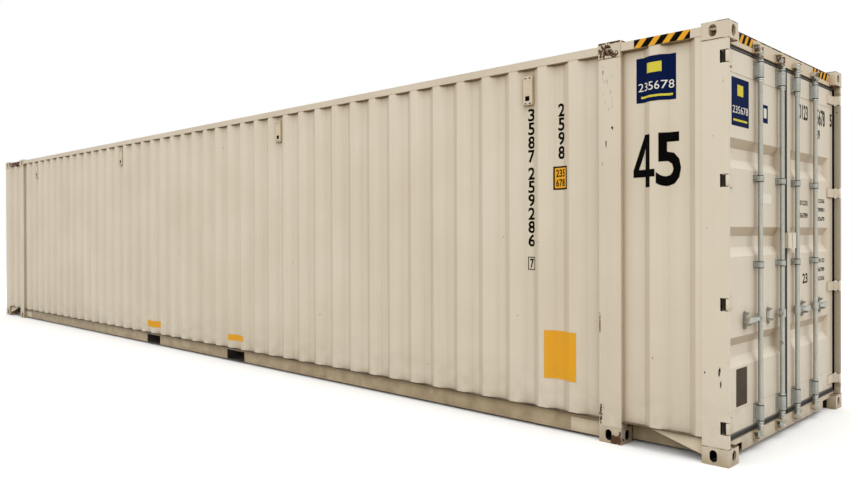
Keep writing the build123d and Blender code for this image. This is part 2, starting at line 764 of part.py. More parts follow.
def keeper(bar_y, z):
    """A cam keeper: a channel open to the rear outside the bar, and a claw inside it."""
    near = z - CAM_HALF_HEIGHT - KEEPER_GAP
    far = z + CAM_HALF_HEIGHT + KEEPER_GAP
    back = HEADER_FACE_X
    front = HEADER_FACE_X + KEEPER_REACH
    base = HEADER_FACE_X + KEEPER_BASE
    outline = [
        (back, near - KEEPER_LIP),
        (front, near - KEEPER_LIP),
        (front, near),
        (base, near),
        (base, far),
        (front, far),
        (front, far + KEEPER_LIP),
        (back, far + KEEPER_LIP),
    ]
    side = outward(bar_y)
    ends = sorted((bar_y + side * KEEPER_START, bar_y + side * KEEPER_END))
    start = bar_y - side * CLAW_START
    end = bar_y - side * CLAW_END
    claw = [
        (back, start),
        (back + CLAW_REACH, start),
        (back + CLAW_REACH, end + side * CLAW_TAPER),
        (back, end),
    ]
    return [prism("y", outline, *ends), prism("z", claw, z - CLAW_HALF_HEIGHT, z + CLAW_HALF_HEIGHT)]


# Right door; the left one is its mirror image


def leaf_frame():
    """The door's frame: two stiles and two rails welded into one."""
    outer = block(DOOR_INNER_X, DOOR_FACE_X, DOOR_INNER_Y, DOOR_OUTER_Y, DOOR_BOTTOM, DOOR_TOP)
    opening = block(
        DOOR_INNER_X,
        DOOR_FACE_X,
        DOOR_INNER_Y + LEAF_INNER_STILE,
        DOOR_OUTER_Y - LEAF_OUTER_STILE,
        DOOR_BOTTOM + LEAF_BOTTOM_RAIL,
        DOOR_TOP - LEAF_TOP_RAIL,
    )
    return outer - opening


def leaf_panel():
    """The pressed door sheet with its three tapered recesses."""
    face = PANEL_FACE_X
    y0 = DOOR_INNER_Y + LEAF_INNER_STILE
    y1 = DOOR_OUTER_Y - LEAF_OUTER_STILE
    sheet = block(
        face - PANEL_THICKNESS, face, y0, y1, DOOR_BOTTOM + LEAF_BOTTOM_RAIL, DOOR_TOP - LEAF_TOP_RAIL
    )
    slope_z = (RECESS_HEIGHT - RECESS_FLAT) / 2
    floor_x = face - RECESS_DEPTH
    skin = PANEL_THICKNESS
    for z in (LOW_RECESS_Z, MIDDLE_RECESS_Z, HIGH_RECESS_Z):
        low = z - RECESS_HEIGHT / 2
        high = z + RECESS_HEIGHT / 2
        start = y0 + skin
        end = y1 - RECESS_END_MARGIN
        shell = pressing(
            floor_x - skin,
            face,
            start - skin,
            end + skin,
            low - skin,
            high + skin,
            RECESS_END_SLOPE,
            slope_z,
        )
        hollow = pressing(floor_x, face, start, end, low, high, RECESS_END_SLOPE, slope_z)
        sheet = sheet + shell - hollow
    return sheet


def leaf_gasket():
    """The rubber seal round the leaf."""
    front = DOOR_FACE_X - GASKET_FACE_SET_BACK
    back = front - GASKET_DEPTH
    ring = block(back, front, GASKET_CENTRE_Y, GASKET_OUTER_Y, GASKET_BOTTOM, GASKET_TOP)
    return ring - block(back, front, DOOR_INNER_Y, DOOR_OUTER_Y, DOOR_BOTTOM, DOOR_TOP)


def hinge_leaf(z):
    """A forged hinge blade: its knuckle on the pin, an arm and a strap along the door."""
    low = z - HINGE_HEIGHT / 2
    face = DOOR_FACE_X
    reach = KNUCKLE_RADIUS - HINGE_ARM_INSET
    strap = [
        (face, HINGE_STRAP_INNER_Y),
        (face + HINGE_STRAP, HINGE_STRAP_INNER_Y + HINGE_STRAP),
        (face + HINGE_STRAP, DOOR_OUTER_Y - HINGE_STRAP_BEND),
        (PIN_X + HINGE_ARM_TURN, PIN_Y - reach),
        (PIN_X, PIN_Y),
        (PIN_X - reach, PIN_Y - HINGE_ARM_TURN),
        (face, DOOR_OUTER_Y + HINGE_STRAP_OVERHANG),
    ]
    blade = prism("z", strap, low, low + HINGE_HEIGHT)
    blade += rod((PIN_X, PIN_Y, z), (0, 0, 1), KNUCKLE_RADIUS, HINGE_HEIGHT)
    return blade - rod((PIN_X, PIN_Y, z), (0, 0, 1), PIN_RADIUS + PIN_CLEARANCE, HINGE_HEIGHT)


def bar_bracket(bar_y, z, height, width, barrel_height, face):
    """A bracket on the leaf: a base plate and a barrel round the locking bar."""
    base = block(
        face, face + HOUSING_BASE, bar_y - width / 2, bar_y + width / 2, z - height / 2, z + height / 2
    )
    half = barrel_height / 2
    web = block(face, BAR_X, bar_y - HOUSING_BARREL, bar_y + HOUSING_BARREL, z - half, z + half)
    barrel = rod((BAR_X, bar_y, z), (0, 0, 1), HOUSING_BARREL, barrel_height)
    return base + web + barrel - rod((BAR_X, bar_y, z), (0, 0, 1), BAR_RADIUS + BAR_CLEARANCE, height)


def door_brackets(bars):
    """Two long housings and two short guides on each bar of one door."""
    brackets = []
    for y in bars:
        for z in HOUSING_HEIGHTS:
            brackets.append(
                bar_bracket(y, z, HOUSING_HEIGHT, HOUSING_WIDTH, HOUSING_BARREL_HEIGHT, DOOR_FACE_X)
            )
        for z in GUIDE_HEIGHTS:
            brackets.append(bar_bracket(y, z, GUIDE_HEIGHT, GUIDE_WIDTH, GUIDE_BARREL_HEIGHT, PANEL_FACE_X))
    return brackets


def handle_catch(bar_y):
    """A catch on the leaf: a round-ended plate, a shelf under the handle with its rib, and a hasp above."""
    y = bar_y + outward(bar_y) * CATCH_OFFSET
    face = PANEL_FACE_X
    base = face + CATCH_BASE
    bottom = HANDLE_Z - CATCH_BELOW_HANDLE
    top = HANDLE_Z + CATCH_ABOVE_HANDLE
    plane = Plane(origin=(face, y, (bottom + top) / 2), x_dir=(0, 0, 1), z_dir=(1, 0, 0))
    plate = extrude(plane * SlotOverall(top - bottom, CATCH_WIDTH), CATCH_BASE)
    shelf_top = HANDLE_Z - HANDLE_GRIP / 2 - CATCH_SHELF_GAP
    shelf_line = [
        (base, shelf_top),
        (face + CATCH_REACH, shelf_top),
        (face + CATCH_REACH, shelf_top - CATCH_SHELF),
        (base, bottom + CATCH_WIDTH / 2),
    ]
    hasp_low = HANDLE_Z + HANDLE_GRIP / 2 + HASP_GAP
    hasp_line = [
        (base, hasp_low),
        (face + HASP_REACH, hasp_low + HASP_HEIGHT / 2),
        (face + HASP_REACH, hasp_low + HASP_HEIGHT),
        (base, hasp_low + HASP_HEIGHT),
    ]
    shelf = prism("y", shelf_line, y - CATCH_SHELF_WIDTH / 2, y + CATCH_SHELF_WIDTH / 2)
    hasp = prism("y", hasp_line, y - HASP_WIDTH / 2, y + HASP_WIDTH / 2)
    return plate + shelf + hasp


def lock_box():
    """Half of the padlock cover, open below and towards the other door."""
    front = DOOR_FACE_X + LOCK_BOX_DEPTH
    wall = LOCK_BOX_WALL
    shell = block(DOOR_FACE_X, front, LOCK_BOX_INNER_Y, LOCK_BOX_OUTER_Y, LOCK_BOX_BOTTOM, LOCK_BOX_TOP)
    shell -= block(
        DOOR_FACE_X,
        front - wall,
        LOCK_BOX_INNER_Y,
        LOCK_BOX_OUTER_Y - wall,
        LOCK_BOX_BOTTOM,
        LOCK_BOX_TOP - wall,
    )
    flange_y = LOCK_BOX_OUTER_Y - LOCK_BOX_FLANGE_WIDTH
    return shell + block(
        DOOR_FACE_X, DOOR_FACE_X + wall, flange_y, LOCK_BOX_OUTER_Y, LOCK_BOX_FLANGE_BOTTOM, LOCK_BOX_TOP
    )


# Locking bars and handles


def cam(bar_y, z):
    """A cam end: a collar round the bar and a tongue that lies in the keeper."""
    side = outward(bar_y)
    half = CAM_TONGUE_THICKNESS / 2
    tip = bar_y + side * CAM_TONGUE
    outline = [
        (BAR_X - half, bar_y),
        (BAR_X - half, tip - side * half),
        (BAR_X, tip),
        (BAR_X + half, tip - side * half),
        (BAR_X + half, bar_y),
    ]
    tongue = prism("z", outline, z - CAM_HALF_HEIGHT, z + CAM_HALF_HEIGHT)
    return tongue + rod((BAR_X, bar_y, z), (0, 0, 1), CAM_RADIUS, 2 * CAM_HALF_HEIGHT)


def locking_bar(bar_y):
    """A locking bar: a round bar, a cam at each end, and a hub with the lug and pin of the handle."""
    side = outward(bar_y)
    middle = (BAR_BOTTOM + BAR_TOP) / 2
    bar = rod((BAR_X, bar_y, middle), (0, 0, 1), BAR_RADIUS, BAR_TOP - BAR_BOTTOM)
    bar += [cam(bar_y, LOWER_CAM_Z), cam(bar_y, UPPER_CAM_Z)]
    bar += rod((BAR_X, bar_y, HANDLE_Z), (0, 0, 1), HUB_RADIUS, HUB_HEIGHT)
    pivot_y = bar_y + side * HANDLE_PIVOT
    middle_x = BAR_X + HANDLE_SET_OUT
    lug_face = middle_x - HANDLE_THICKNESS / 2 - HUB_LUG_GAP
    lug_x = lug_face - HUB_LUG / 2
    ends = sorted((bar_y, pivot_y))
    bar += block(
        lug_face - HUB_LUG, lug_face, *ends, HANDLE_Z - HANDLE_HUB_RADIUS, HANDLE_Z + HANDLE_HUB_RADIUS
    )
    bar += rod((lug_x, pivot_y, HANDLE_Z), (1, 0, 0), HANDLE_HUB_RADIUS, HUB_LUG)
    head_x = middle_x + HANDLE_THICKNESS / 2 + HUB_LUG_GAP / 2
    bar += rod(((lug_x + head_x) / 2, pivot_y, HANDLE_Z), (1, 0, 0), HANDLE_PIN_RADIUS, head_x - lug_x)
    head = (head_x + HANDLE_PIN_HEAD / 2, pivot_y, HANDLE_Z)
    return bar + rod(head, (1, 0, 0), 2 * HANDLE_PIN_RADIUS, HANDLE_PIN_HEAD)


def handle(bar_y, hanging):
    """A forged handle with a wider grip, drawn level and pointing outwards, or hanging from its pin."""
    side = outward(bar_y)
    pivot = (BAR_X + HANDLE_SET_OUT, bar_y + side * HANDLE_PIVOT, HANDLE_Z)
    plane = Plane(origin=pivot, x_dir=(0, 0, -1) if hanging else (0, side, 0), z_dir=(1, 0, 0))
    neck = HANDLE_NECK / 2
    grip = HANDLE_GRIP / 2
    blade = Polygon(
        (0, -side * neck),
        (HANDLE_NECK_LENGTH, -side * neck),
        (HANDLE_GRIP_START, -side * grip),
        (HANDLE_LENGTH, -side * grip),
        (HANDLE_LENGTH - HANDLE_END_CUT, side * grip),
        (HANDLE_GRIP_START, side * grip),
        (HANDLE_NECK_LENGTH, side * neck),
        (0, side * neck),
        align=None,
    )
    outline = Circle(HANDLE_HUB_RADIUS) + blade - Circle(HANDLE_PIN_RADIUS + PIN_CLEARANCE)
    return extrude(plane * outline, HANDLE_THICKNESS / 2, both=True)


# Small fixed pieces


def vent(x):
    """A moulded ventilator cover seated in a wall recess."""
    back = WALL_INNER_Y
    front = WALL_INNER_Y + VENT_DEPTH
    taper = WALL_DEPTH / WALL_SLOPE * (VENT_WIDTH - (WALL_PITCH - WALL_CREST - 2 * WALL_SLOPE)) / 2
    half = VENT_WIDTH / 2
    base = (WALL_PITCH - WALL_CREST - 2 * WALL_SLOPE) / 2
    outline = [
        (x - base, back),
        (x + base, back),
        (x + half, back + taper),
        (x + half, front),
        (x - half, front),
        (x - half, back + taper),
    ]
    return prism("z", outline, VENT_TOP - VENT_HEIGHT, VENT_TOP)


def gusset():
    """The three-cornered plate beside the rear right bottom corner fitting."""
    top = RAIL_TOP - RAIL_THICKNESS
    outline = [(CORNER_INNER_X, GUSSET_LOW), (CORNER_INNER_X, top), (CORNER_INNER_X - GUSSET_LENGTH, top)]
    return prism("y", outline, GUSSET_Y - GUSSET_THICKNESS, GUSSET_Y)


def doubler():
    """The plate welded outside the right bottom rail, beside the forty-foot fitting."""
    web_face = RAIL_WEB_Y + RAIL_THICKNESS
    return block(
        FORTY_INNER_X - DOUBLER_LENGTH,
        FORTY_INNER_X,
        web_face,
        web_face + RAIL_THICKNESS,
        MEMBER_BOTTOM,
        MEMBER_BOTTOM + DOUBLER_HEIGHT,
    )


def write_body():
    """Every sub-part of the container's own frame."""
    save("corner_fittings", *fitting_set(END_X))
    save("forty_foot_fittings", *fitting_set(FORTY_X))
    save("rear_corner_posts", *both_sides(rear_post()))
    save("front_corner_posts", *both_sides(front_post()))
    save("forty_foot_posts", *both_ends(both_sides(forty_foot_post())))
    right_wall = [main_wall(), bay_wall(), front_copy(bay_wall())]
    save("right_side_wall", *right_wall)
    save("left_side_wall", *[left_copy(wall) for wall in right_wall])
    save("front_wall", front_wall())
    save("roof", roof())
    save("bottom_side_rails", *both_sides(*bottom_rails()))
    save("top_side_rails", *both_sides(*top_rails()))
    save("fork_pockets", fork_pocket(-POCKET_X), fork_pocket(POCKET_X))
    save("cross_members", *cross_members())
    save("forty_foot_beams", *both_ends(forty_foot_beams()))
    save("floor", floor())
    header, sill = front_rails()
    save("front_header", header)
    save("front_sill", sill)
    save("door_header", door_header())
    save("door_sill", door_sill())
    keepers = [keeper(y, z) for y in BAR_POSITIONS for z in (LOWER_CAM_Z, UPPER_CAM_Z)]
    save("cam_keepers", *[shape for pair in keepers for shape in pair])
    save("hinge_pins", *both_sides(*hinge_pins()))
    vents = [vent(LAST_CREST_X - (i - 0.5) * WALL_PITCH) for i in VENT_RECESSES]
    save("vents", *both_ends(both_sides(*vents)))
    save("gussets", *both_ends(both_sides(gusset(), doubler())))


def write_door(side, copy):
    """The sub-parts of one door leaf."""
    bars = [y for y in BAR_POSITIONS if y > 0]
    save(f"{side}_door_frame", copy(leaf_frame()))
    save(f"{side}_door_panel", copy(leaf_panel()))
    save(f"{side}_door_gasket", copy(leaf_gasket()))
    save(f"{side}_hinge_leaves", *[copy(hinge_leaf(z)) for z in HINGE_HEIGHTS])
    save(f"{side}_bar_brackets", *[copy(bracket) for bracket in door_brackets(bars)])
    save(f"{side}_handle_catches", *[copy(handle_catch(y)) for y in bars])
    save(f"{side}_lock_box", copy(lock_box()))


write_body()
write_door("right", lambda shape: shape)
write_door("left", left_copy)
for number, bar_position in enumerate(BAR_POSITIONS, start=1):
    save(f"locking_bar_{number}", locking_bar(bar_position))
    save(f"handle_{number}", handle(bar_position, hanging=number == 2))
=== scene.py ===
# %% [markdown]
# # A forty-five foot shipping container, its looks
# The container's shape and moving parts come from a CAD model. This script dresses that model in
# Blender: paint, rust, rubber, decals, bolts, and a plain studio round it. Everything is in metres:
# +X points out of the doors, +Z up, and the left side, seen from the doors, is at -Y.

import math

import bpy
from mathutils import Matrix, Vector


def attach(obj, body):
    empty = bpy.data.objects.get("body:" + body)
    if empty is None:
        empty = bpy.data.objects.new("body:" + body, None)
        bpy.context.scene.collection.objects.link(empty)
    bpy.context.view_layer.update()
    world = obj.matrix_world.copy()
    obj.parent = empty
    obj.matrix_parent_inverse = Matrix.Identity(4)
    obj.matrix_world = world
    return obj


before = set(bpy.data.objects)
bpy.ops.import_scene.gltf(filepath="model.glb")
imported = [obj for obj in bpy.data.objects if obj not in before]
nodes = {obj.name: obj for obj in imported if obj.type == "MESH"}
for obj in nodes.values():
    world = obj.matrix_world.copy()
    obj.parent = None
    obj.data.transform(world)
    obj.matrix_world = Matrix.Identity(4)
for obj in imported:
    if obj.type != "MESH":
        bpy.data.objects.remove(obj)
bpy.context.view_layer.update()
bpy.ops.object.select_all(action="DESELECT")

# %% [markdown]
# ## Camera
# The picture is taken standing off the left rear corner, at eye height. The camera's place was found
# from the container's own corners, so it is given as numbers: a place, a turn to the left of the length
# axis, a slight tilt down and a lens. A small shift puts the middle of the lens where it was.

# %% Camera
bpy.ops.object.camera_add(location=(8.8263, -6.1423, 1.5215))
camera = bpy.context.object
camera.rotation_euler = (math.radians(90 - 0.252), math.radians(0.193), math.radians(44.79))
camera.data.sensor_width = 36
camera.data.lens = 32.05
camera.data.shift_x = 0.0238
camera.data.shift_y = -0.0038
camera.data.clip_end = 300
bpy.context.scene.camera = camera
print("camera lens", camera.data.lens, "mm")

# %% [markdown]
# ## Helpers for materials
# Every finish below is a small tree of shader nodes. One function turns the sRGB hex colours that a
# paint chart gives into the linear numbers that Blender computes with, one adds a node with its settings
# and links, and the rest are patterns that several finishes share.

# %% Helpers for materials


def linear(hex_colour):
    """A colour written as sRGB hex, as the linear numbers that Blender works in."""
    parts = [int(hex_colour[i : i + 2], 16) / 255 for i in (1, 3, 5)]
    return [p / 12.92 if p <= 0.04045 else ((p + 0.055) / 1.055) ** 2.4 for p in parts] + [1]


def add_node(material, kind, links=None, **settings):
    """Adds one shader node: settings name its properties or sockets, links join sockets to outputs."""
    node = material.node_tree.nodes.new(kind)
    for name, value in settings.items():
        if hasattr(node, name):
            setattr(node, name, value)
        else:
            key = int(name[1:]) if name[1:].isdigit() else name.replace("_", " ")
            node.inputs[key].default_value = value
    for name, output in (links or {}).items():
        key = name if isinstance(name, int) else name.replace("_", " ")
        material.node_tree.links.new(output, node.inputs[key])
    return node


def new_material(name):
    """An empty node material."""
    material = bpy.data.materials.new(name)
    material.use_nodes = True
    material.node_tree.nodes.clear()
    return material


def finish_material(material, shader):
    """Joins the last shader to a new output node."""
    add_node(material, "ShaderNodeOutputMaterial", {"Surface": shader.outputs[0]})
    return material


def cloudy(material, place, scale, low, high, stretch=(1, 1, 1), detail=3.0):
    """A noise pattern turned to a mask: 0 below one noise value, 1 above another."""
    mapped = add_node(material, "ShaderNodeMapping", {"Vector": place}, Scale=stretch).outputs[0]
    noise = add_node(material, "ShaderNodeTexNoise", {"Vector": mapped}, Scale=scale, Detail=detail)
    return add_node(
        material, "ShaderNodeMapRange", {"Value": noise.outputs[0]}, From_Min=low, From_Max=high
    ).outputs[0]


def blend(material, mask, under, over):
    """Two colours mixed by a mask. Each is a hex colour or the output of another node."""
    links, settings = {0: mask}, {}
    for slot, colour in ((6, under), (7, over)):
        if isinstance(colour, str):
            settings[f"_{slot}"] = linear(colour)
        else:
            links[slot] = colour
    return add_node(material, "ShaderNodeMix", links, data_type="RGBA", **settings).outputs[2]


def product(material, first, second, operation="MULTIPLY"):
    """Two masks joined by arithmetic, held between 0 and 1."""
    links, settings = {}, {}
    for slot, value in ((0, first), (1, second)):
        if isinstance(value, (int, float)):
            settings[f"_{slot}"] = value
        else:
            links[slot] = value
    node = add_node(material, "ShaderNodeMath", links, operation=operation, use_clamp=True, **settings)
    return node.outputs[0]


def height_band(material, z, middle, half, soft):
    """A mask that is 1 near one height and fades out at both sides of it."""
    away = add_node(material, "ShaderNodeMath", {0: z}, operation="SUBTRACT", _1=middle).outputs[0]
    away = add_node(material, "ShaderNodeMath", {0: away}, operation="ABSOLUTE").outputs[0]
    return add_node(
        material, "ShaderNodeMapRange", {"Value": away}, From_Min=half + soft, From_Max=half
    ).outputs[0]


def spot(material, place, centre, size, ragged=0.5, grain=40.0):
    """A ragged patch of one size at one place, as a mask."""
    squeeze = [1 / s for s in size]
    shift = [-c / s for c, s in zip(centre, size)]
    mapped = add_node(
        material, "ShaderNodeMapping", {"Vector": place}, Location=shift, Scale=squeeze
    ).outputs[0]
    ball = add_node(material, "ShaderNodeTexGradient", {"Vector": mapped}, gradient_type="SPHERICAL")
    noise = add_node(material, "ShaderNodeTexNoise", {"Vector": place}, Scale=grain, Detail=4.0)
    rough = add_node(
        material, "ShaderNodeMapRange", {"Value": noise.outputs[0]}, From_Min=0.3, From_Max=0.7,
        To_Min=1 - 1.9 * ragged, To_Max=1 + 1.9 * ragged,
    ).outputs[0]
    both = add_node(
        material, "ShaderNodeMath", {0: ball.outputs[1], 1: rough}, operation="MULTIPLY"
    ).outputs[0]
    return add_node(material, "ShaderNodeMapRange", {"Value": both}, From_Min=0.36, From_Max=0.44).outputs[0]


def in_box(material, place, centre, half):
    """A mask that is 1 inside a box. Left, right, front and rear count alike: the signs of X and Y drop."""
    folded = add_node(material, "ShaderNodeVectorMath", {0: place}, operation="ABSOLUTE").outputs[0]
    axes = add_node(material, "ShaderNodeSeparateXYZ", {"Vector": folded})
    mask = 1.0
    for i in range(3):
        near = add_node(
            material, "ShaderNodeMath", {0: axes.outputs[i]}, operation="COMPARE", _1=centre[i], _2=half[i]
        ).outputs[0]
        mask = product(material, near, mask)
    return mask


def recess_shade_and_dust(material, distance):
    """A mask of recesses and inside corners, for painted shade with some dust."""
    open_sky = add_node(material, "ShaderNodeAmbientOcclusion", samples=6, Distance=distance).outputs["AO"]
    return add_node(
        material, "ShaderNodeMapRange", {"Value": open_sky}, From_Min=0.98, From_Max=0.45
    ).outputs[0]


def edges_for_wear_and_shade(material, radius):
    """A mask of the outer edges, found by comparing a rounded normal with the true one."""
    rounded = add_node(material, "ShaderNodeBevel", samples=4, Radius=radius).outputs[0]
    true = add_node(material, "ShaderNodeNewGeometry").outputs["Normal"]
    alike = add_node(
        material, "ShaderNodeVectorMath", {0: rounded, 1: true}, operation="DOT_PRODUCT"
    ).outputs["Value"]
    return add_node(material, "ShaderNodeMapRange", {"Value": alike}, From_Min=0.98, From_Max=0.86).outputs[0]


def facing_back(material, axis, full):
    """A mask of the faces that look back along an axis: 0 for a slight slope, 1 from the given one on."""
    true = add_node(material, "ShaderNodeNewGeometry").outputs["True Normal"]
    along = add_node(material, "ShaderNodeSeparateXYZ", {"Vector": true}).outputs[axis]
    return add_node(material, "ShaderNodeMapRange", {"Value": along}, From_Min=-0.2, From_Max=full).outputs[0]


def fine_grain(material, place, scale, strength, distance):
    """A bump of fine, even grain."""
    grain = add_node(material, "ShaderNodeTexNoise", {"Vector": place}, Scale=scale, Detail=2.0).outputs[0]
    return add_node(
        material, "ShaderNodeBump", {"Height": grain}, Strength=strength, Distance=distance
    ).outputs[0]


print("helpers ready; white is", linear("#ffffff")[:3])

# %% [markdown]
# ## Floor, background and light
# A soft white studio suits a pale box. The floor is pale to the camera and keeps the shadow, but to other
# rays it is as dark as a yard's ground, so the undersides stay in shade. Far out it fades into the white
# background. The sky is brighter overhead than at the horizon, as on an overcast day, and large lamps
# add only a little shape.

# %% Floor
bpy.ops.mesh.primitive_plane_add(size=400, location=(0, 0, 0))
floor_sheet = bpy.context.object
floor_sheet.name = "studio_floor"
studio_white = new_material("studio_white")
floor_place = add_node(studio_white, "ShaderNodeTexCoord").outputs["Object"]
floor_distance = add_node(studio_white, "ShaderNodeVectorMath", {0: floor_place}, operation="LENGTH")
FADE_FROM, FADE_TO = 9.0, 30.0
fade_out = add_node(
    studio_white, "ShaderNodeMapRange", {"Value": floor_distance.outputs["Value"]},
    From_Min=FADE_FROM, From_Max=FADE_TO,
).outputs[0]
floor_rays = add_node(studio_white, "ShaderNodeLightPath")
direct = floor_rays.outputs["Is Camera Ray"]
for ray in ("Is Glossy Ray", "Is Transmission Ray"):
    direct = product(studio_white, direct, floor_rays.outputs[ray], "MAXIMUM")
floor_colour = blend(studio_white, direct, "#83704f", "#f4f3f1")
floor_matte = add_node(studio_white, "ShaderNodeBsdfDiffuse", {"Color": floor_colour})
floor_glow = add_node(studio_white, "ShaderNodeEmission", Color=linear("#ffffff"), Strength=1.0)
floor_fade = product(studio_white, fade_out, direct)
floor_mix = add_node(
    studio_white, "ShaderNodeMixShader", {0: floor_fade, 1: floor_matte.outputs[0], 2: floor_glow.outputs[0]}
)
finish_material(studio_white, floor_mix)
floor_sheet.data.materials.append(studio_white)
print("floor", floor_sheet.dimensions[0], "m wide")

# %% World
world = bpy.data.worlds.new("studio")
bpy.context.scene.world = world
world.use_nodes = True
world.node_tree.nodes.clear()
sky_way = add_node(world, "ShaderNodeTexCoord").outputs["Generated"]
sky_up = add_node(world, "ShaderNodeSeparateXYZ", {"Vector": sky_way}).outputs["Z"]
HORIZON, OVERHEAD = 0.80, 1.62
sky_strength = add_node(
    world, "ShaderNodeMapRange", {"Value": sky_up},
    From_Min=0.0, From_Max=0.9, To_Min=HORIZON, To_Max=OVERHEAD,
).outputs[0]
skylight = add_node(world, "ShaderNodeBackground", {"Strength": sky_strength}, Color=linear("#f6f7f8"))
backdrop = add_node(world, "ShaderNodeBackground", Color=linear("#ffffff"), Strength=1.0)
sky_rays = add_node(world, "ShaderNodeLightPath")
sky_direct = sky_rays.outputs["Is Camera Ray"]
for ray in ("Is Transmission Ray", "Is Glossy Ray"):
    sky_direct = product(world, sky_direct, sky_rays.outputs[ray], "MAXIMUM")
sky_mix = add_node(
    world, "ShaderNodeMixShader", {0: sky_direct, 1: skylight.outputs[0], 2: backdrop.outputs[0]}
)
add_node(world, "ShaderNodeOutputWorld", {"Surface": sky_mix.outputs[0]})
print("sky from horizon to overhead:", HORIZON, "to", OVERHEAD)

# %% Lamps


def soft_lamp(name, place, target, size, power):
    """A large square lamp that faces a point."""
    bpy.ops.object.light_add(type="AREA", location=place)
    lamp = bpy.context.object
    lamp.name = name
    lamp.data.size = size
    lamp.data.energy = power
    away = lamp.location - Vector(target)
    lamp.rotation_euler = away.to_track_quat("Z", "Y").to_euler()
    return lamp


soft_lamp("over_doors", (17, -4, 11), (6, 0, 1), 10, 470)
soft_lamp("along_side", (4, -18, 12), (1, -1, 1), 14, 700)
soft_lamp("overhead", (0, 0, 15), (0, 0, 0), 18, 560)
bpy.context.scene.view_settings.view_transform = "Standard"

# %% [markdown]
# ## Painted steel
# The whole shell is weathering steel, sprayed with a beige satin container paint. To the eye that is an
# almost even colour with faded patches a metre wide, faint rain streaks down from the roof, dust low
# down, and rust where knocks have cut the film. The patterns are procedural, on Object coordinates, so
# the paint runs on from piece to piece; their scales come from the real sizes of patches, streaks and
# chips. Rust follows the outer edges, where paint is thinnest, by a rounded normal. Shade is also painted
# into the colour: recesses, faces that look towards the front end or down, and a few pockets, gaps and
# cavities are darkened.

# %% Painted steel

# The near-black serves scratches and dirt, and painted shade in pockets, gaps and cavities
RUST_DARK, RUST_LIGHT, GRIME_AND_SHADE = "#2f2016", "#6b4a31", "#0d0b09"
HINGE_Z = (0.25, 1.0537, 1.8573, 2.661)


def painted_steel(
    name, colour, faded, dust="#a8997f", streaks=0.08, edges=0.0, specks=0.8, low_dirt=0.35, painted_slope_shade=0.0,
    painted_underside_shade=0.0, extra=None,
):
    """Sprayed satin paint on steel: faded patches, rain streaks, low dirt, chips, rusty edges and painted
    shade.
    """
    material = new_material(name)
    place = add_node(material, "ShaderNodeTexCoord").outputs["Object"]
    z = add_node(material, "ShaderNodeSeparateXYZ", {"Vector": place}).outputs["Z"]
    tone = blend(material, cloudy(material, place, 1.1, 0.35, 0.7, detail=4.0), colour, faded)
    # Streaks 40 mm wide and a metre or two long
    runs = cloudy(material, place, 1.0, 0.5, 0.8, stretch=(26, 26, 0.8), detail=3.0)
    tone = blend(material, product(material, runs, streaks), tone, dust)
    # Painted shade, with some dust, in the recesses and inside corners
    tone = blend(material, product(material, recess_shade_and_dust(material, 0.10), 0.75), tone, "#a58f70")
    # Painted shade: faces that look towards the front end are darker
    if painted_slope_shade:
        tone = blend(material, product(material, facing_back(material, "X", -0.45), painted_slope_shade), tone, "#ab937b")
    # Painted shade on faces that look down
    if painted_underside_shade:
        tone = blend(material, product(material, facing_back(material, "Z", -0.5), painted_underside_shade), tone, "#a0855a")
    # Splashed dirt below knee height
    low = add_node(material, "ShaderNodeMapRange", {"Value": z}, From_Min=0.55, From_Max=0.0).outputs[0]
    splash = cloudy(material, place, 9.0, 0.3, 0.75, detail=5.0)
    tone = blend(material, product(material, product(material, low, splash), low_dirt), tone, "#7c6a4e")
    # Chips of 5 to 15 mm, each cut through to rust
    rust = blend(material, cloudy(material, place, 160.0, 0.35, 0.65), RUST_DARK, RUST_LIGHT)
    chips = cloudy(material, place, 26.0, 0.752, 0.765, detail=5.0)
    worn = product(material, chips, specks)
    if edges:
        broken = cloudy(material, place, 22.0, 0.4, 0.62, detail=5.0)
        edge = product(material, edges_for_wear_and_shade(material, 0.006), broken)
        worn = product(material, worn, product(material, edge, edges), "MAXIMUM")
    rust_marks, grime_and_shade_marks = extra(material, place, z) if extra else ((), ())
    for mask in rust_marks:
        worn = product(material, worn, mask, "MAXIMUM")
    tone = blend(material, worn, tone, rust)
    # Dark marks: scratches and dirt, and painted shade in pockets, gaps, cavities and lines
    for mask in grime_and_shade_marks:
        tone = blend(material, mask, tone, GRIME_AND_SHADE)
        worn = product(material, worn, mask, "MAXIMUM")
    # Orange peel of a few millimetres, and slight dents of a hand's breadth
    peel = add_node(material, "ShaderNodeTexNoise", {"Vector": place}, Scale=260.0, Detail=2.0).outputs[0]
    dents = add_node(material, "ShaderNodeTexNoise", {"Vector": place}, Scale=4.5, Detail=1.0).outputs[0]
    hollow = add_node(material, "ShaderNodeBump", {"Height": dents}, Strength=0.35, Distance=0.006)
    bump = add_node(
        material, "ShaderNodeBump", {"Height": peel, "Normal": hollow.outputs[0]},
        Strength=0.12, Distance=0.0006,
    )
    pit = add_node(
        material, "ShaderNodeBump", {"Height": worn, "Normal": bump.outputs[0]},
        Strength=0.5, Distance=0.0006, invert=True,
    )
    rough = add_node(material, "ShaderNodeMapRange", {"Value": worn}, To_Min=0.46, To_Max=0.95).outputs[0]
    shader = add_node(
        material, "ShaderNodeBsdfPrincipled",
        {"Base_Color": tone, "Roughness": rough, "Normal": pit.outputs[0]},
        IOR=1.5, Specular_IOR_Level=0.4,
    )
    return finish_material(material, shader)


def scratched(material, place, centre, size):
    """Thin upright scratches within a patch."""
    lines = cloudy(material, place, 1.0, 0.63, 0.67, stretch=(120, 120, 14), detail=4.0)
    return product(material, lines, spot(material, place, centre, size, 0.2, 30.0))


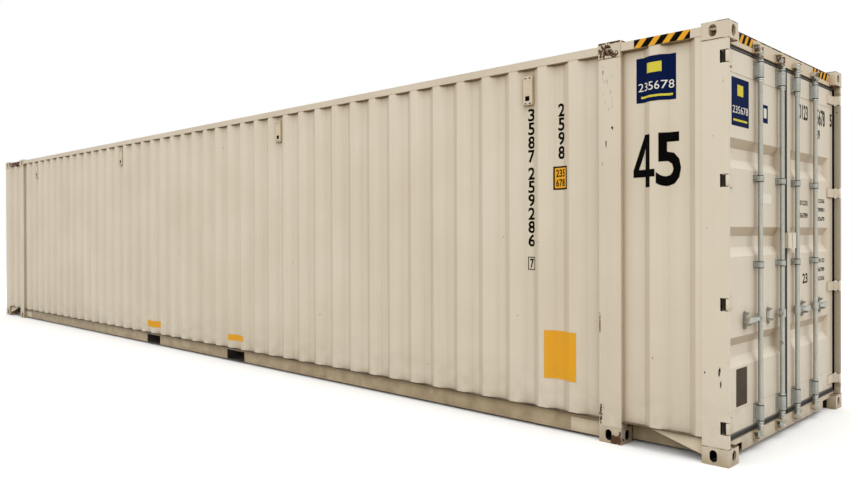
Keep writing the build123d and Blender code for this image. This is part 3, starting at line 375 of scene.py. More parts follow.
def corner_fitting_marks(material, place, z):
    """Broken lines of dirt in the welds, and painted shade: the dark inside of the lower castings and the
    face behind the sill.
    """
    gaps = cloudy(material, place, 30.0, 0.36, 0.52, detail=4.0)
    seams = [product(material, height_band(material, z, h, 0.0012, 0.0035), gaps) for h in (2.7795, 0.1175)]
    rim = height_band(material, z, 2.897, 0.003, 0.006)
    rim = product(material, rim, cloudy(material, place, 24.0, 0.45, 0.55))
    # Painted shade: the lower castings' insides and the face behind the sill are dark
    inside = in_box(material, place, (6.760, 1.138, 0.059), (0.075, 0.0745, 0.046))
    shade_behind_sill = in_box(material, place, (6.73, 1.057, 0.059), (0.055, 0.004, 0.057))
    return seams + [rim], [inside, shade_behind_sill]


def forty_foot_marks(material, place, z):
    """The upper fitting's rust round its slot, the torn paint beside the lower one's, and painted shade
    inside the lower one.
    """
    fx = 6.007
    seam = height_band(material, z, 2.779, 0.0012, 0.0035)
    rust = [
        spot(material, place, (fx - 0.045, -1.219, 2.83), (0.085, 0.2, 0.075), 0.75, 46.0),
        spot(material, place, (fx + 0.03, -1.219, 2.80), (0.07, 0.2, 0.04), 0.7, 50.0),
        spot(material, place, (fx, -1.219, 2.894), (0.24, 0.2, 0.022), 0.55, 40.0),
        spot(material, place, (fx + 0.045, -1.219, 0.03), (0.10, 0.08, 0.055), 0.3, 36.0),
        spot(material, place, (fx + 0.078, -1.219, 0.06), (0.014, 0.06, 0.06), 0.4, 60.0),
        spot(material, place, (-fx, 1.219, 0.04), (0.07, 0.08, 0.06), 0.4, 30.0),
        product(material, seam, cloudy(material, place, 30.0, 0.4, 0.52)),
    ]
    # Painted shade: the lower fitting's inside is dark
    return rust, [in_box(material, place, (fx, 1.138, 0.059), (0.083, 0.0745, 0.046))]


def post_marks(material, place, z):
    """Scratches, nicks and a scraped edge on the near forty-foot post."""
    rust = [
        spot(material, place, (5.926, -1.218, 0.86), (0.008, 0.05, 0.12), 0.5, 60.0),
        spot(material, place, (5.932, -1.218, 0.2), (0.018, 0.05, 0.11), 0.5, 80.0),
    ]
    black = [
        scratched(material, place, (5.985, -1.218, 2.68), (0.10, 0.05, 0.14)),
        scratched(material, place, (6.00, -1.218, 2.50), (0.07, 0.05, 0.16)),
        scratched(material, place, (5.95, -1.218, 2.05), (0.03, 0.05, 0.2)),
        scratched(material, place, (5.94, -1.218, 0.24), (0.05, 0.05, 0.2)),
        spot(material, place, (6.027, -1.218, 2.275), (0.016, 0.05, 0.018), 0.3, 90.0),
        spot(material, place, (5.979, -1.218, 2.164), (0.009, 0.05, 0.04), 0.3, 90.0),
    ]
    return rust, black


def corner_marks(material, place, z):
    """The black scratch low on the near corner post, and painted shade in the hinge pockets and the gap
    behind the doors.
    """
    black = [
        spot(material, place, (6.797, -1.218, 0.615), (0.012, 0.05, 0.05), 0.45, 70.0),
        spot(material, place, (6.806, -1.218, 0.53), (0.007, 0.05, 0.04), 0.5, 80.0),
        spot(material, place, (6.70, -1.218, 0.6), (0.006, 0.05, 0.012), 0.3, 80.0),
        # Painted shade in the gap behind the doors
        in_box(material, place, (6.776, 1.181, 1.45), (0.034, 0.0185, 1.31)),
    ]
    # Painted shade in the hinge pockets
    black += [in_box(material, place, (6.828, 1.2, h), (0.026, 0.0155, 0.0422)) for h in HINGE_Z]
    # The far post's recess is painted darker, as shade
    far = add_node(material, "ShaderNodeSeparateXYZ", {"Vector": place}).outputs["Y"]
    far = product(material, far, 1.0, "GREATER_THAN")
    far = product(material, far, in_box(material, place, (6.8, 1.2, 1.45), (0.08, 0.0185, 1.28)))
    return [], black + [product(material, far, 0.3)]


def knuckle_marks(material, place, z):
    """The blades' knuckles, painted dark as the shade of their pockets."""
    return [], [in_box(material, place, (6.815, 1.205, h), (0.025, 0.02, 0.0422)) for h in HINGE_Z]


def lip_marks(material, place, z):
    """A line of rust along the lip between wall and rail, and the worn rail at the far end."""
    broken = cloudy(material, place, 7.0, 0.4, 0.62, detail=6.0)
    line = product(material, product(material, height_band(material, z, 0.167, 0.003, 0.0035), broken), 0.85)
    far_rail = spot(material, place, (-6.36, -1.218, 2.85), (0.55, 0.3, 0.085), 0.45, 22.0)
    return [line, far_rail], []


def wall_marks(material, place, z):
    """The same lip, and painted shade at the wall's foot and where each hollow of the wall meets the top
    rail.
    """
    line, black = lip_marks(material, place, z)
    # Painted shade: a dark line at the wall's foot, and dark where the wall's recesses meet the top rail
    foot = product(material, height_band(material, z, 0.168, 0.001, 0.003), 0.4)
    head = product(material, in_box(material, place, (0, 1.19, 2.808), (7, 0.019, 0.008)), 0.5)
    return line, black + [foot, head]


def rail_marks(material, place, z):
    """The lip, and painted shade under it."""
    line, black = lip_marks(material, place, z)
    # Painted shade: a dark band under the lip
    return line, black + [product(material, height_band(material, z, 0.160, 0.007, 0.004), 0.85)]


def header_marks(material, place, z):
    """The dark, rusty top edge of the beam over the doors."""
    broken = cloudy(material, place, 12.0, 0.28, 0.5, detail=6.0)
    edge = product(material, height_band(material, z, 2.875, 0.007, 0.004), broken)
    return [edge], [product(material, edge, 0.75)]


BEIGE, BEIGE_FADED = "#ddd5c4", "#d6ccb9"
wall_paint = painted_steel("container_paint_sprayed_wall", BEIGE, BEIGE_FADED, painted_slope_shade=0.28, extra=wall_marks)
door_paint = painted_steel(
    "container_paint_sprayed_doors", "#dfd7c7", "#d8cebc", streaks=0.06, specks=0.5, painted_underside_shade=0.4
)
post_paint = painted_steel("container_paint_on_posts", BEIGE, "#d8cfbd", edges=0.2, extra=corner_marks)
forty_post_paint = painted_steel(
    "container_paint_scraped_posts", "#dbd2c0", "#d3c9b7", edges=0.3, extra=post_marks
)
fitting_paint = painted_steel(
    "painted_cast_steel_fittings", "#d6cbb7", "#ccbfa8", edges=0.35, low_dirt=0.5, extra=corner_fitting_marks
)
forty_fitting_paint = painted_steel(
    "painted_cast_steel_rusted", "#d3c9b6", "#c9bda7", edges=0.7, low_dirt=0.5, extra=forty_foot_marks
)
header_paint = painted_steel("container_paint_on_header", "#d6c8b0", "#cbbca2", edges=0.3, extra=header_marks)
# The gussets take a lighter copy of the paint: painted light against the shade they sit in
gusset_paint = painted_steel("container_paint_on_gussets", "#e6dcc4", "#dacfb5", edges=0.2, low_dirt=0.25)
sill_paint = painted_steel("container_paint_on_sills", "#d6cbb6", "#cabda5", edges=0.05, low_dirt=0.4)
hinge_paint = painted_steel("container_paint_on_hinges", "#dbd1bf", "#d2c6b2", edges=0.2, extra=knuckle_marks)
# The rails take a darker, browner copy of the paint: painted shade under the wall
rail_paint = painted_steel(
    "container_paint_on_rails", "#c4b596", "#b4a384", edges=0.35, low_dirt=0.7, extra=rail_marks
)
top_rail_paint = painted_steel(
    "container_paint_on_top_rails", "#d9cfbd", "#cfc4b0", edges=0.3, extra=lip_marks
)
roof_paint = painted_steel(
    "container_paint_weathered_roof", "#c9bda8", "#b5a78e", dust="#8c7a5f", streaks=0.3,
    specks=1.0, low_dirt=0.0,
)
print("paints:", sum("paint" in m.name for m in bpy.data.materials))

# %% [markdown]
# ## The other finishes
# The locking gear is hot-dip galvanised: a dull grey zinc with crystals about a centimetre wide. The
# seals are black EPDM rubber, extruded and slightly dusty. The floor is birch plywood under a brown
# coating, the frame below is brushed with bitumen, and the ventilator covers are moulded in a plastic
# that has yellowed a little.

# %% Galvanised steel


def galvanised_steel(name, tone, rust_above=None, rust_amount=0.25, painted_edge_shade=0.0):
    """Hot-dip zinc on steel: spangle, dull oxide, rust where it has worn through, and painted shade on the
    edges if asked.
    """
    material = new_material(name)
    place = add_node(material, "ShaderNodeTexCoord").outputs["Object"]
    z = add_node(material, "ShaderNodeSeparateXYZ", {"Vector": place}).outputs["Z"]
    # Zinc crystals of about 9 mm
    cells = add_node(material, "ShaderNodeTexVoronoi", {"Vector": place}, Scale=110.0)
    grey = add_node(material, "ShaderNodeSeparateColor", {"Color": cells.outputs["Color"]}).outputs[0]
    spangle = blend(material, grey, tone, "#a3a49c")
    oxide = cloudy(material, place, 14.0, 0.35, 0.7, detail=5.0)
    zinc = blend(material, product(material, oxide, 0.5), spangle, "#b8b8ae")
    rust = blend(material, cloudy(material, place, 140.0, 0.35, 0.65), "#453025", "#7d5a41")
    worn = product(material, cloudy(material, place, 34.0, 0.66, 0.72, detail=5.0), rust_amount)
    if rust_above is not None:
        high = add_node(
            material, "ShaderNodeMapRange", {"Value": z}, From_Min=rust_above, From_Max=rust_above + 0.02
        ).outputs[0]
        patchy = cloudy(material, place, 30.0, 0.46, 0.56, detail=5.0)
        worn = product(material, worn, product(material, high, patchy), "MAXIMUM")
    colour = blend(material, worn, zinc, rust)
    # Painted shade: the outer edges are darkened as dark outlines
    if painted_edge_shade:
        colour = blend(material, product(material, edges_for_wear_and_shade(material, 0.004), painted_edge_shade), colour, "#2e2c28")
    metal = add_node(material, "ShaderNodeMapRange", {"Value": worn}, To_Min=0.75, To_Max=0.0).outputs[0]
    rough = add_node(material, "ShaderNodeMapRange", {"Value": worn}, To_Min=0.52, To_Max=0.9).outputs[0]
    bump = add_node(material, "ShaderNodeBump", {"Height": grey}, Strength=0.12, Distance=0.0005)
    shader = add_node(
        material, "ShaderNodeBsdfPrincipled",
        {"Base_Color": colour, "Metallic": metal, "Roughness": rough, "Normal": bump.outputs[0]},
    )
    return finish_material(material, shader)


zinc_bars = galvanised_steel("galvanised_steel_bars", "#b3b4ab", rust_above=2.722, painted_edge_shade=0.6)
zinc_collars = galvanised_steel(
    "galvanised_steel_collars", "#dadbd4", rust_above=2.722, rust_amount=0.4, painted_edge_shade=1.0
)
zinc_brackets = galvanised_steel("galvanised_steel_brackets", "#9da19f", rust_amount=0.35, painted_edge_shade=1.0)
zinc_handles = galvanised_steel("galvanised_steel_handles", "#b9bab1", rust_amount=0.5, painted_edge_shade=1.0)
zinc_bolts = galvanised_steel("galvanised_steel_bolts", "#4b4a45", rust_amount=0.9)
keeper_steel = painted_steel("painted_forged_keepers", "#cbbfa8", "#bbae95", edges=0.9, specks=1.0)
print("zinc crystals about 9 mm across")

# %% Rubber, bitumen, plastic and plywood
rubber = new_material("epdm_rubber_extruded")
place = add_node(rubber, "ShaderNodeTexCoord").outputs["Object"]
height = add_node(rubber, "ShaderNodeSeparateXYZ", {"Vector": place}).outputs["Z"]
dusty = product(rubber, cloudy(rubber, place, 18.0, 0.35, 0.75, detail=5.0), 0.35)
black = blend(rubber, dusty, "#1b1a18", "#4a4740")
lip = height_band(rubber, height, 2.7555, 0.0018, 0.0015)
lip = product(rubber, lip, height_band(rubber, height, 0.171, 0.004, 0.002), "MAXIMUM")
tone = blend(rubber, product(rubber, lip, 0.55), black, "#8b8880")
bump = fine_grain(rubber, place, 500.0, 0.15, 0.0005)
finish_material(
    rubber,
    add_node(
        rubber, "ShaderNodeBsdfPrincipled", {"Base_Color": tone, "Normal": bump},
        IOR=1.52, Roughness=0.72, Specular_IOR_Level=0.35,
    ),
)

bitumen = new_material("bitumen_brushed_underframe")
place = add_node(bitumen, "ShaderNodeTexCoord").outputs["Object"]
dust = cloudy(bitumen, place, 6.0, 0.4, 0.7, detail=6.0)
tone = blend(bitumen, product(bitumen, dust, 0.5), "#33302b", "#6d6350")
brush = add_node(
    bitumen, "ShaderNodeMapping", {"Vector": place}, Scale=(300.0, 20.0, 300.0)
).outputs[0]
strokes = add_node(bitumen, "ShaderNodeTexNoise", {"Vector": brush}, Scale=1.0, Detail=2.0).outputs[0]
bump = add_node(bitumen, "ShaderNodeBump", {"Height": strokes}, Strength=0.3, Distance=0.0008)
finish_material(
    bitumen,
    add_node(
        bitumen, "ShaderNodeBsdfPrincipled", {"Base_Color": tone, "Normal": bump.outputs[0]},
        IOR=1.6, Roughness=0.6,
    ),
)

plastic = new_material("polypropylene_moulded_vents")
place = add_node(plastic, "ShaderNodeTexCoord").outputs["Object"]
grime = product(plastic, cloudy(plastic, place, 12.0, 0.35, 0.7, detail=5.0), 0.5)
tone = blend(plastic, grime, "#d6cbb4", "#b9a988")
bump = fine_grain(plastic, place, 420.0, 0.1, 0.0004)
finish_material(
    plastic,
    add_node(
        plastic, "ShaderNodeBsdfPrincipled", {"Base_Color": tone, "Normal": bump},
        IOR=1.49, Roughness=0.5,
    ),
)

plywood = new_material("birch_plywood_coated")
place = add_node(plywood, "ShaderNodeTexCoord").outputs["Object"]
# Boards 1.22 m wide across the container, their grain along it
boards = add_node(
    plywood, "ShaderNodeTexBrick", {"Vector": place}, offset=0.5, Scale=1.0, Mortar_Size=0.003,
    Brick_Width=2.44, Row_Height=1.22,
    Color1=linear("#7a5333"), Color2=linear("#6c4729"), Mortar=linear("#2a1d12"),
)
fibre = add_node(plywood, "ShaderNodeMapping", {"Vector": place}, Scale=(3.0, 90.0, 90.0)).outputs[0]
veins = add_node(plywood, "ShaderNodeTexNoise", {"Vector": fibre}, Scale=1.0, Detail=5.0).outputs[0]
veneer = add_node(plywood, "ShaderNodeMapRange", {"Value": veins}, From_Min=0.35, From_Max=0.7).outputs[0]
tone = blend(plywood, product(plywood, veneer, 0.6), boards.outputs[0], "#9b7148")
scuffs = cloudy(plywood, place, 3.0, 0.55, 0.75, stretch=(0.4, 2.5, 1), detail=6.0)
tone = blend(plywood, product(plywood, scuffs, 0.4), tone, "#b59a76")
bump = add_node(plywood, "ShaderNodeBump", {"Height": veins}, Strength=0.25, Distance=0.0008)
finish_material(
    plywood,
    add_node(
        plywood, "ShaderNodeBsdfPrincipled", {"Base_Color": tone, "Normal": bump.outputs[0]},
        IOR=1.5, Roughness=0.55,
    ),
)
print("finishes:", len(bpy.data.materials))

# %% [markdown]
# ## Finishes on the CAD pieces
# Each CAD node keeps its shape and gets its finish by assigning the material to its slots. Real castings,
# forgings and folded plate have no razor edges, so a Bevel modifier softens the ones that are seen close
# by. The imported mesh is loose triangles, so a Weld modifier joins them first.

# %% Finishes on the CAD pieces
FINISHES = {
    wall_paint: ["right_side_wall", "left_side_wall", "front_wall"],
    door_paint: ["_door_frame", "_door_panel", "_lock_box"],
    hinge_paint: ["_hinge_leaves"],
    post_paint: ["rear_corner_posts", "front_corner_posts", "hinge_pins"],
    forty_post_paint: ["forty_foot_posts"],
    fitting_paint: ["corner_fittings"],
    forty_fitting_paint: ["forty_foot_fittings"],
    header_paint: ["door_header", "front_header"],
    sill_paint: ["door_sill", "front_sill"],
    rail_paint: ["bottom_side_rails"],
    gusset_paint: ["gussets"],
    top_rail_paint: ["top_side_rails"],
    roof_paint: ["roof"],
    keeper_steel: ["cam_keepers"],
    zinc_bars: ["locking_bar_"],
    zinc_handles: ["handle_"],
    zinc_brackets: ["_bar_brackets", "_handle_catches"],
    rubber: ["_door_gasket"],
    # The fork pockets take the dark bitumen so that their insides are painted as shade
    bitumen: ["cross_members", "forty_foot_beams", "fork_pockets"],
    plastic: ["vents"],
    plywood: ["floor"],
}
SOFT_EDGES = {
    "corner_fittings": 4, "forty_foot_fittings": 4, "rear_corner_posts": 2, "forty_foot_posts": 2,
    "front_corner_posts": 2, "_hinge_leaves": 2.5, "cam_keepers": 1.5, "handle_": 2.5, "_bar_brackets": 1.5,
    "_handle_catches": 1.5, "_lock_box": 1, "vents": 3, "locking_bar_": 0.8,
}


def nodes_for(key):
    """The CAD nodes with this name, or whose names start or end with it."""
    if key in nodes:
        return [key]
    return [n for n in nodes if (n.startswith(key) if key.endswith("_") else n.endswith(key))]


dressed = set()
for material, keys in FINISHES.items():
    for name in [n for key in keys for n in nodes_for(key)]:
        nodes[name].data.materials.clear()
        nodes[name].data.materials.append(material)
        dressed.add(name)
print("CAD nodes with a finish:", len(dressed), "without:", sorted(set(nodes) - dressed))

# %% Soft edges
softened = 0
for key, width in SOFT_EDGES.items():
    for name in nodes_for(key):
        weld = nodes[name].modifiers.new("join_triangles", "WELD")
        weld.merge_threshold = 0.00002
        edge = nodes[name].modifiers.new("soft_edge", "BEVEL")
        edge.width = width / 1000
        edge.segments = 2
        edge.limit_method = "ANGLE"
        edge.angle_limit = math.radians(40)
        edge.use_clamp_overlap = True
        softened += 1
print("nodes with softened edges:", softened)

# %% [markdown]
# ## Bolts and collars
# The housings are bolted to the doors, four bolts each, the guides and the catches with two each. A bolt
# could be a plain cylinder, but a six-sided head with a chamfer and a washer reads as a bolt even when it
# is small. It is modelled once, then copied to every place and joined per door.

# %% Bolt
BAR_X = 6.833
INNER_BAR_Y, OUTER_BAR_Y = 0.1655, 0.5995
HOUSING_Z, GUIDE_Z, CATCH_BOLT_Z = (0.252, 2.660), (1.293, 1.898), (0.865, 0.967)
HOUSING_BASE_X, GUIDE_BASE_X = 6.806, 6.804
BARS = {1: -OUTER_BAR_Y, 2: -INNER_BAR_Y, 3: INNER_BAR_Y, 4: OUTER_BAR_Y}


def select_only(piece):
    """Makes one object the selected and active one."""
    bpy.ops.object.select_all(action="DESELECT")
    piece.select_set(True)
    bpy.context.view_layer.objects.active = piece


def select_faces(piece, test):
    """In edit mode, selects the faces that pass a test of their centre and normal."""
    bpy.ops.mesh.select_mode(type="FACE")
    bpy.ops.mesh.select_all(action="DESELECT")
    bpy.ops.object.mode_set(mode="OBJECT")
    for face in piece.data.polygons:
        face.select = bool(test(face.center, face.normal))
    bpy.ops.object.mode_set(mode="EDIT")


def join_pieces(pieces, name):
    """Joins several objects to one."""
    bpy.ops.object.select_all(action="DESELECT")
    for piece in pieces:
        piece.select_set(True)
    bpy.context.view_layer.objects.active = pieces[0]
    if len(pieces) > 1:
        bpy.ops.object.join()
    piece = bpy.context.view_layer.objects.active
    piece.name = name
    piece.data.name = name
    return piece


def fit_out(piece, material, body):
    """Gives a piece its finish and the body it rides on."""
    piece.data.materials.clear()
    piece.data.materials.append(material)
    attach(piece, body)
    return piece


def copies(master, name, places):
    """Copies a modelled piece to every place, each with its own mesh, and joins the copies."""
    made = []
    for place in places:
        twin = master.copy()
        twin.data = master.data.copy()
        twin.data.transform(Matrix.Translation(place))
        bpy.context.collection.objects.link(twin)
        made.append(twin)
    return join_pieces(made, name)


def remove(piece):
    """Deletes a master that is no longer needed."""
    bpy.data.objects.remove(piece, do_unlink=True)


bpy.ops.mesh.primitive_cylinder_add(
    vertices=6, radius=0.0075, depth=0.006, location=(0.0045, 0, 0), rotation=(0, math.pi / 2, 0)
)
bolt = bpy.context.object
bpy.ops.object.transform_apply(location=True, rotation=True, scale=True)
bpy.ops.object.mode_set(mode="EDIT")
select_faces(bolt, lambda centre, normal: normal.x > 0.9)
bpy.ops.mesh.inset(thickness=0.0012)
bpy.ops.transform.translate(value=(0.0009, 0, 0))
select_faces(bolt, lambda centre, normal: normal.x < -0.9)
bpy.ops.transform.resize(value=(1, 1.35, 1.35))
bpy.ops.mesh.extrude_region_move(TRANSFORM_OT_translate={"value": (-0.0015, 0, 0)})
bpy.ops.object.mode_set(mode="OBJECT")
print("bolt:", len(bolt.data.polygons), "faces")

# %% Bolts on each door
for side, bar_numbers in (("left", (1, 2)), ("right", (3, 4))):
    places = []
    for number in bar_numbers:
        y = BARS[number]
        for z in HOUSING_Z:
            places += [(HOUSING_BASE_X, y + dy, z + dz) for dy in (-0.036, 0.036) for dz in (-0.05, 0.05)]
        places += [(GUIDE_BASE_X, y + dy, z) for dy in (-0.033, 0.033) for z in GUIDE_Z]
        places += [(GUIDE_BASE_X, y + math.copysign(0.203, y), z) for z in CATCH_BOLT_Z]
    fit_out(copies(bolt, f"{side}_door_bolts", places), zinc_bolts, f"{side}_door")
    print(side, "door bolts:", len(places))
remove(bolt)

# %% [markdown]
# A collar is a short ring that keeps the bar from sliding in its housing. It starts as a cylinder and its
# rim is bevelled; the middle is not seen, because the bar passes through.

# %% Collars
bpy.ops.mesh.primitive_cylinder_add(vertices=32, radius=0.0225, depth=0.011, location=(0, 0, 0))
collar = bpy.context.object
bpy.ops.object.mode_set(mode="EDIT")
select_faces(collar, lambda centre, normal: abs(normal.z) > 0.9)
bpy.ops.mesh.inset(thickness=0.0016)
bpy.ops.object.mode_set(mode="OBJECT")
rim = collar.modifiers.new("rim", "BEVEL")
rim.width = 0.0014
rim.segments = 2
select_only(collar)
bpy.ops.object.modifier_apply(modifier="rim")
bpy.ops.object.shade_smooth_by_angle(angle=math.radians(30))
COLLAR_Z = (0.090, 0.1145, 0.150, 0.166, 0.188, 0.3165, 2.5955, 2.580, 2.7245, 2.741, 2.758, 2.784, 2.811)
for number, y in BARS.items():
    piece = copies(collar, f"bar_collars_{number}", [(BAR_X, y, z) for z in COLLAR_Z])
    fit_out(piece, zinc_collars, f"bar_{number}")
print("collars on each bar:", len(COLLAR_Z), "faces:", len(piece.data.polygons))
bushing = collar.copy()
bushing.data = collar.data.copy()
bushing.data.transform(Matrix.Scale(0.5, 4, (0, 0, 1)))
bpy.context.collection.objects.link(bushing)
remove(collar)

# %% [markdown]
# Each handle turns on a pin. Its greasy, darker end shows as a dot: a thin disc whose face is inset and
# sunk a little, one on each bar.

# %% Handle pins
PIN_X, PIN_OFFSET, PIN_Z = 6.8574, 0.042, 0.921
for number, y in BARS.items():
    bpy.ops.mesh.primitive_cylinder_add(
        vertices=24, radius=0.009, depth=0.0008, location=(PIN_X, y + math.copysign(PIN_OFFSET, y), PIN_Z),
        rotation=(0, math.pi / 2, 0),
    )
    pin = bpy.context.object
    pin.name = f"handle_pin_{number}"
    bpy.ops.object.transform_apply(location=True, rotation=True, scale=True)
    bpy.ops.object.mode_set(mode="EDIT")
    select_faces(pin, lambda centre, normal: normal.x > 0.9)
    bpy.ops.mesh.inset(thickness=0.002)
    bpy.ops.transform.translate(value=(-0.0003, 0, 0))
    bpy.ops.object.mode_set(mode="OBJECT")
    fit_out(pin, zinc_bolts, f"bar_{number}")
print("pin faces:", len(pin.data.polygons))

# %% [markdown]
# Where the bar passes through each housing and guide, a black nylon bushing shows as a thin ring. The
# same turned and bevelled ring serves, one for each end of each housing and guide, and rides the door.

# %% Bushings
nylon = new_material("nylon_bushing_black")
place = add_node(nylon, "ShaderNodeTexCoord").outputs["Object"]
tone = blend(nylon, product(nylon, cloudy(nylon, place, 40.0, 0.4, 0.7), 0.4), "#191816", "#4b4840")
bump = fine_grain(nylon, place, 400.0, 0.1, 0.0003)
finish_material(
    nylon,
    add_node(
        nylon, "ShaderNodeBsdfPrincipled", {"Base_Color": tone, "Normal": bump}, IOR=1.53, Roughness=0.5
    ),
)
BUSHING_Z = (0.1975, 0.3065, 1.2715, 1.3145, 1.8765, 1.9195, 2.6055, 2.7145)
for side, bar_numbers in (("left", (1, 2)), ("right", (3, 4))):
    ring_places = [(BAR_X, BARS[n], z) for n in bar_numbers for z in BUSHING_Z]
    fit_out(copies(bushing, f"{side}_door_bushings", ring_places), nylon, f"{side}_door")
print("bushings on each door:", len(ring_places))
remove(bushing)

# %% [markdown]
# ## Decals
# Flat vinyl is cut and stuck on. On the doors it lies flat, so a thin plate is enough. On the side it
# follows the corrugations, so each figure or panel is pressed on the wall, a film of 0.8 mm that hugs
# every bend. All figures are plain digits, and the plates hold digits or plain bars.

# %% Vinyl and ink


def vinyl(name, colour, worn="#8d8878", amount=0.25, fade=0.1, stripes=None):
    """Cut vinyl or stencilled ink: even colour, a slight fade and scuffs of a few millimetres."""
    material = new_material(name)
    place = add_node(material, "ShaderNodeTexCoord").outputs["Object"]
    if stripes:
        # Slanted bands: the place along the rail less part of the height, cut by a saw-tooth
        along, start, lean, pitch = stripes
        back = [-s for s in start]
        moved = add_node(material, "ShaderNodeMapping", {"Vector": place}, Location=back).outputs[0]
        axes = add_node(material, "ShaderNodeSeparateXYZ", {"Vector": moved})
        slant = add_node(material, "ShaderNodeMath", {0: axes.outputs["Z"]}, operation="MULTIPLY", _1=-lean)
        ends = {0: axes.outputs[along], 1: slant.outputs[0]}
        run = add_node(material, "ShaderNodeMath", ends, operation="ADD").outputs[0]
        saw = add_node(material, "ShaderNodeMath", {0: run}, operation="DIVIDE", _1=pitch).outputs[0]
        saw = add_node(material, "ShaderNodeMath", {0: saw}, operation="FRACT").outputs[0]
        dark = add_node(material, "ShaderNodeMath", {0: saw}, operation="GREATER_THAN", _1=0.47).outputs[0]
        base = blend(material, dark, colour, "#0a0908")
    else:
        faded = cloudy(material, place, 7.0, 0.4, 0.7, detail=4.0)
        base = blend(material, product(material, faded, fade), colour, worn)
    scuffs = product(material, cloudy(material, place, 85.0, 0.64, 0.72, detail=5.0), amount)
    base = blend(material, scuffs, base, worn)
    bump = fine_grain(material, place, 300.0, 0.08, 0.0003)
    shader = add_node(
        material, "ShaderNodeBsdfPrincipled", {"Base_Color": base, "Normal": bump},
        IOR=1.5, Roughness=0.6, Specular_IOR_Level=0.03,
    )
    return finish_material(material, shader)


navy = vinyl("vinyl_printed_navy", "#071844", "#39435c", 0.1, 0.03)
amber = vinyl("vinyl_printed_amber", "#e9ab33", "#b3925a", 0.3)
black_ink = vinyl("stencil_ink_black", "#030302", "#6f6757", 0.06, 0.0)
white_vinyl = vinyl("vinyl_printed_white", "#e9e7df", "#b9b6ab", 0.2)
yellow_vinyl = vinyl("vinyl_printed_yellow", "#d9cf4a", "#a8a05c", 0.25)
plate_brown = vinyl("aluminium_plate_printed_brown", "#4f463b", "#7d7466", 0.45)
green_vinyl = vinyl("vinyl_printed_green", "#4c7a3c", "#8d8878", 0.3)
RAIL_BANDS = ("X", (6.2, 0, 2.8155), 0.85, 0.1035)
HEADER_BANDS = ("Y", (0, -0.91, 2.806), 0.7, 0.085)
rail_stripes = vinyl("vinyl_hazard_rail", "#e9ab33", "#8d7a52", 0.25, stripes=RAIL_BANDS)
header_stripes = vinyl("vinyl_hazard_header", "#e9ab33", "#8d7a52", 0.45, stripes=HEADER_BANDS)
print("vinyls ready")

# %% Flat plates and figures
DOOR_FACE_X, PANEL_FACE_X, FRONT_OF_WALL = 6.800, 6.798, -1.24


def plate(name, x, y, z, rounded=0.0):
    """A thin plate between the corners given as pairs, its corners rounded if asked."""
    size = (x[1] - x[0], y[1] - y[0], z[1] - z[0])
    middle = ((x[0] + x[1]) / 2, (y[0] + y[1]) / 2, (z[0] + z[1]) / 2)
    bpy.ops.mesh.primitive_cube_add(size=1, location=middle)
    piece = bpy.context.object
    piece.name = name
    piece.scale = size
    bpy.ops.object.transform_apply(location=True, rotation=True, scale=True)
    if rounded:
        thin = min(range(3), key=lambda i: size[i])
        short = [i for i in range(3) if i != thin]
        bpy.ops.object.mode_set(mode="EDIT")
        bpy.ops.mesh.select_mode(type="EDGE")
        bpy.ops.mesh.select_all(action="DESELECT")
        bpy.ops.object.mode_set(mode="OBJECT")
        for edge in piece.data.edges:
            ends = [piece.data.vertices[i].co for i in edge.vertices]
            edge.select = all(abs(ends[0][i] - ends[1][i]) < 1e-6 for i in short)
        bpy.ops.object.mode_set(mode="EDIT")
        bpy.ops.mesh.bevel(offset=rounded, segments=3)
        bpy.ops.object.mode_set(mode="OBJECT")
    return piece


def decal(name, x, y, z, material, body, rounded=0.003):
    """A flat decal on a door, a rail or the header."""
    return fit_out(plate(name, x, y, z, rounded), material, body)


def digits(text, across, z, face, bold=0.02):
    """Flat digits between the pairs given, that face the "door" side (+X) or the near "side" (-Y)."""
    bpy.ops.object.text_add()
    piece = bpy.context.object
    piece.data.body = text
    piece.data.offset = bold
    piece.data.resolution_u = 3
    select_only(piece)
    bpy.ops.object.convert(target="MESH")
    piece = bpy.context.object
    corners = [Vector(c) for c in piece.bound_box]
    low = Vector([min(c[i] for c in corners) for i in range(3)])
    high = Vector([max(c[i] for c in corners) for i in range(3)])
    wide, tall = (across[1] - across[0]) / (high.x - low.x), (z[1] - z[0]) / (high.y - low.y)
    if face == "door":
        turn = Matrix(((0, 0, 1, PANEL_FACE_X), (wide, 0, 0, across[0]), (0, tall, 0, z[0]), (0, 0, 0, 1)))
    else:
        turn = Matrix(((wide, 0, 0, across[0]), (0, 0, -1, FRONT_OF_WALL), (0, tall, 0, z[0]), (0, 0, 0, 1)))
    piece.data.transform(turn @ Matrix.Translation(-low))
    return piece


def sheet(across, z, lean=0.0):
    """A flat sheet in front of the near side, between the pairs given; its top may lean to one side."""
    bpy.ops.mesh.primitive_plane_add(size=1, location=(0, 0, 0))
    piece = bpy.context.object
    wide, tall = across[1] - across[0], z[1] - z[0]
    middle = (sum(across) / 2, FRONT_OF_WALL, sum(z) / 2)
    turn = Matrix(((wide, lean, 0, middle[0]), (0, 0, -1, middle[1]), (0, tall, 0, middle[2]), (0, 0, 0, 1)))
    piece.data.transform(turn)
    return piece


# %% [markdown]
# A decal on the corrugated wall starts flat, in front of it. It is cut along the folds of the wall, which
# are read from the wall's own corners, then a Shrinkwrap modifier presses it on and a Solidify modifier
# gives it a film's thickness. Unlike a cut with a Boolean, this doesn't need a wall that is closed.

# %% Decals on the corrugated side
FILM = 0.0008
left_wall = nodes["left_side_wall"]
wall_folds = sorted({round(v.co.x, 3) for v in left_wall.data.vertices})


def thicken(piece):
    """Gives a flat decal the thickness of a film."""
    film = piece.modifiers.new("film", "SOLIDIFY")
    film.thickness = 2 * FILM
    film.offset = 0
    select_only(piece)
    bpy.ops.object.modifier_apply(modifier="film")
    return piece


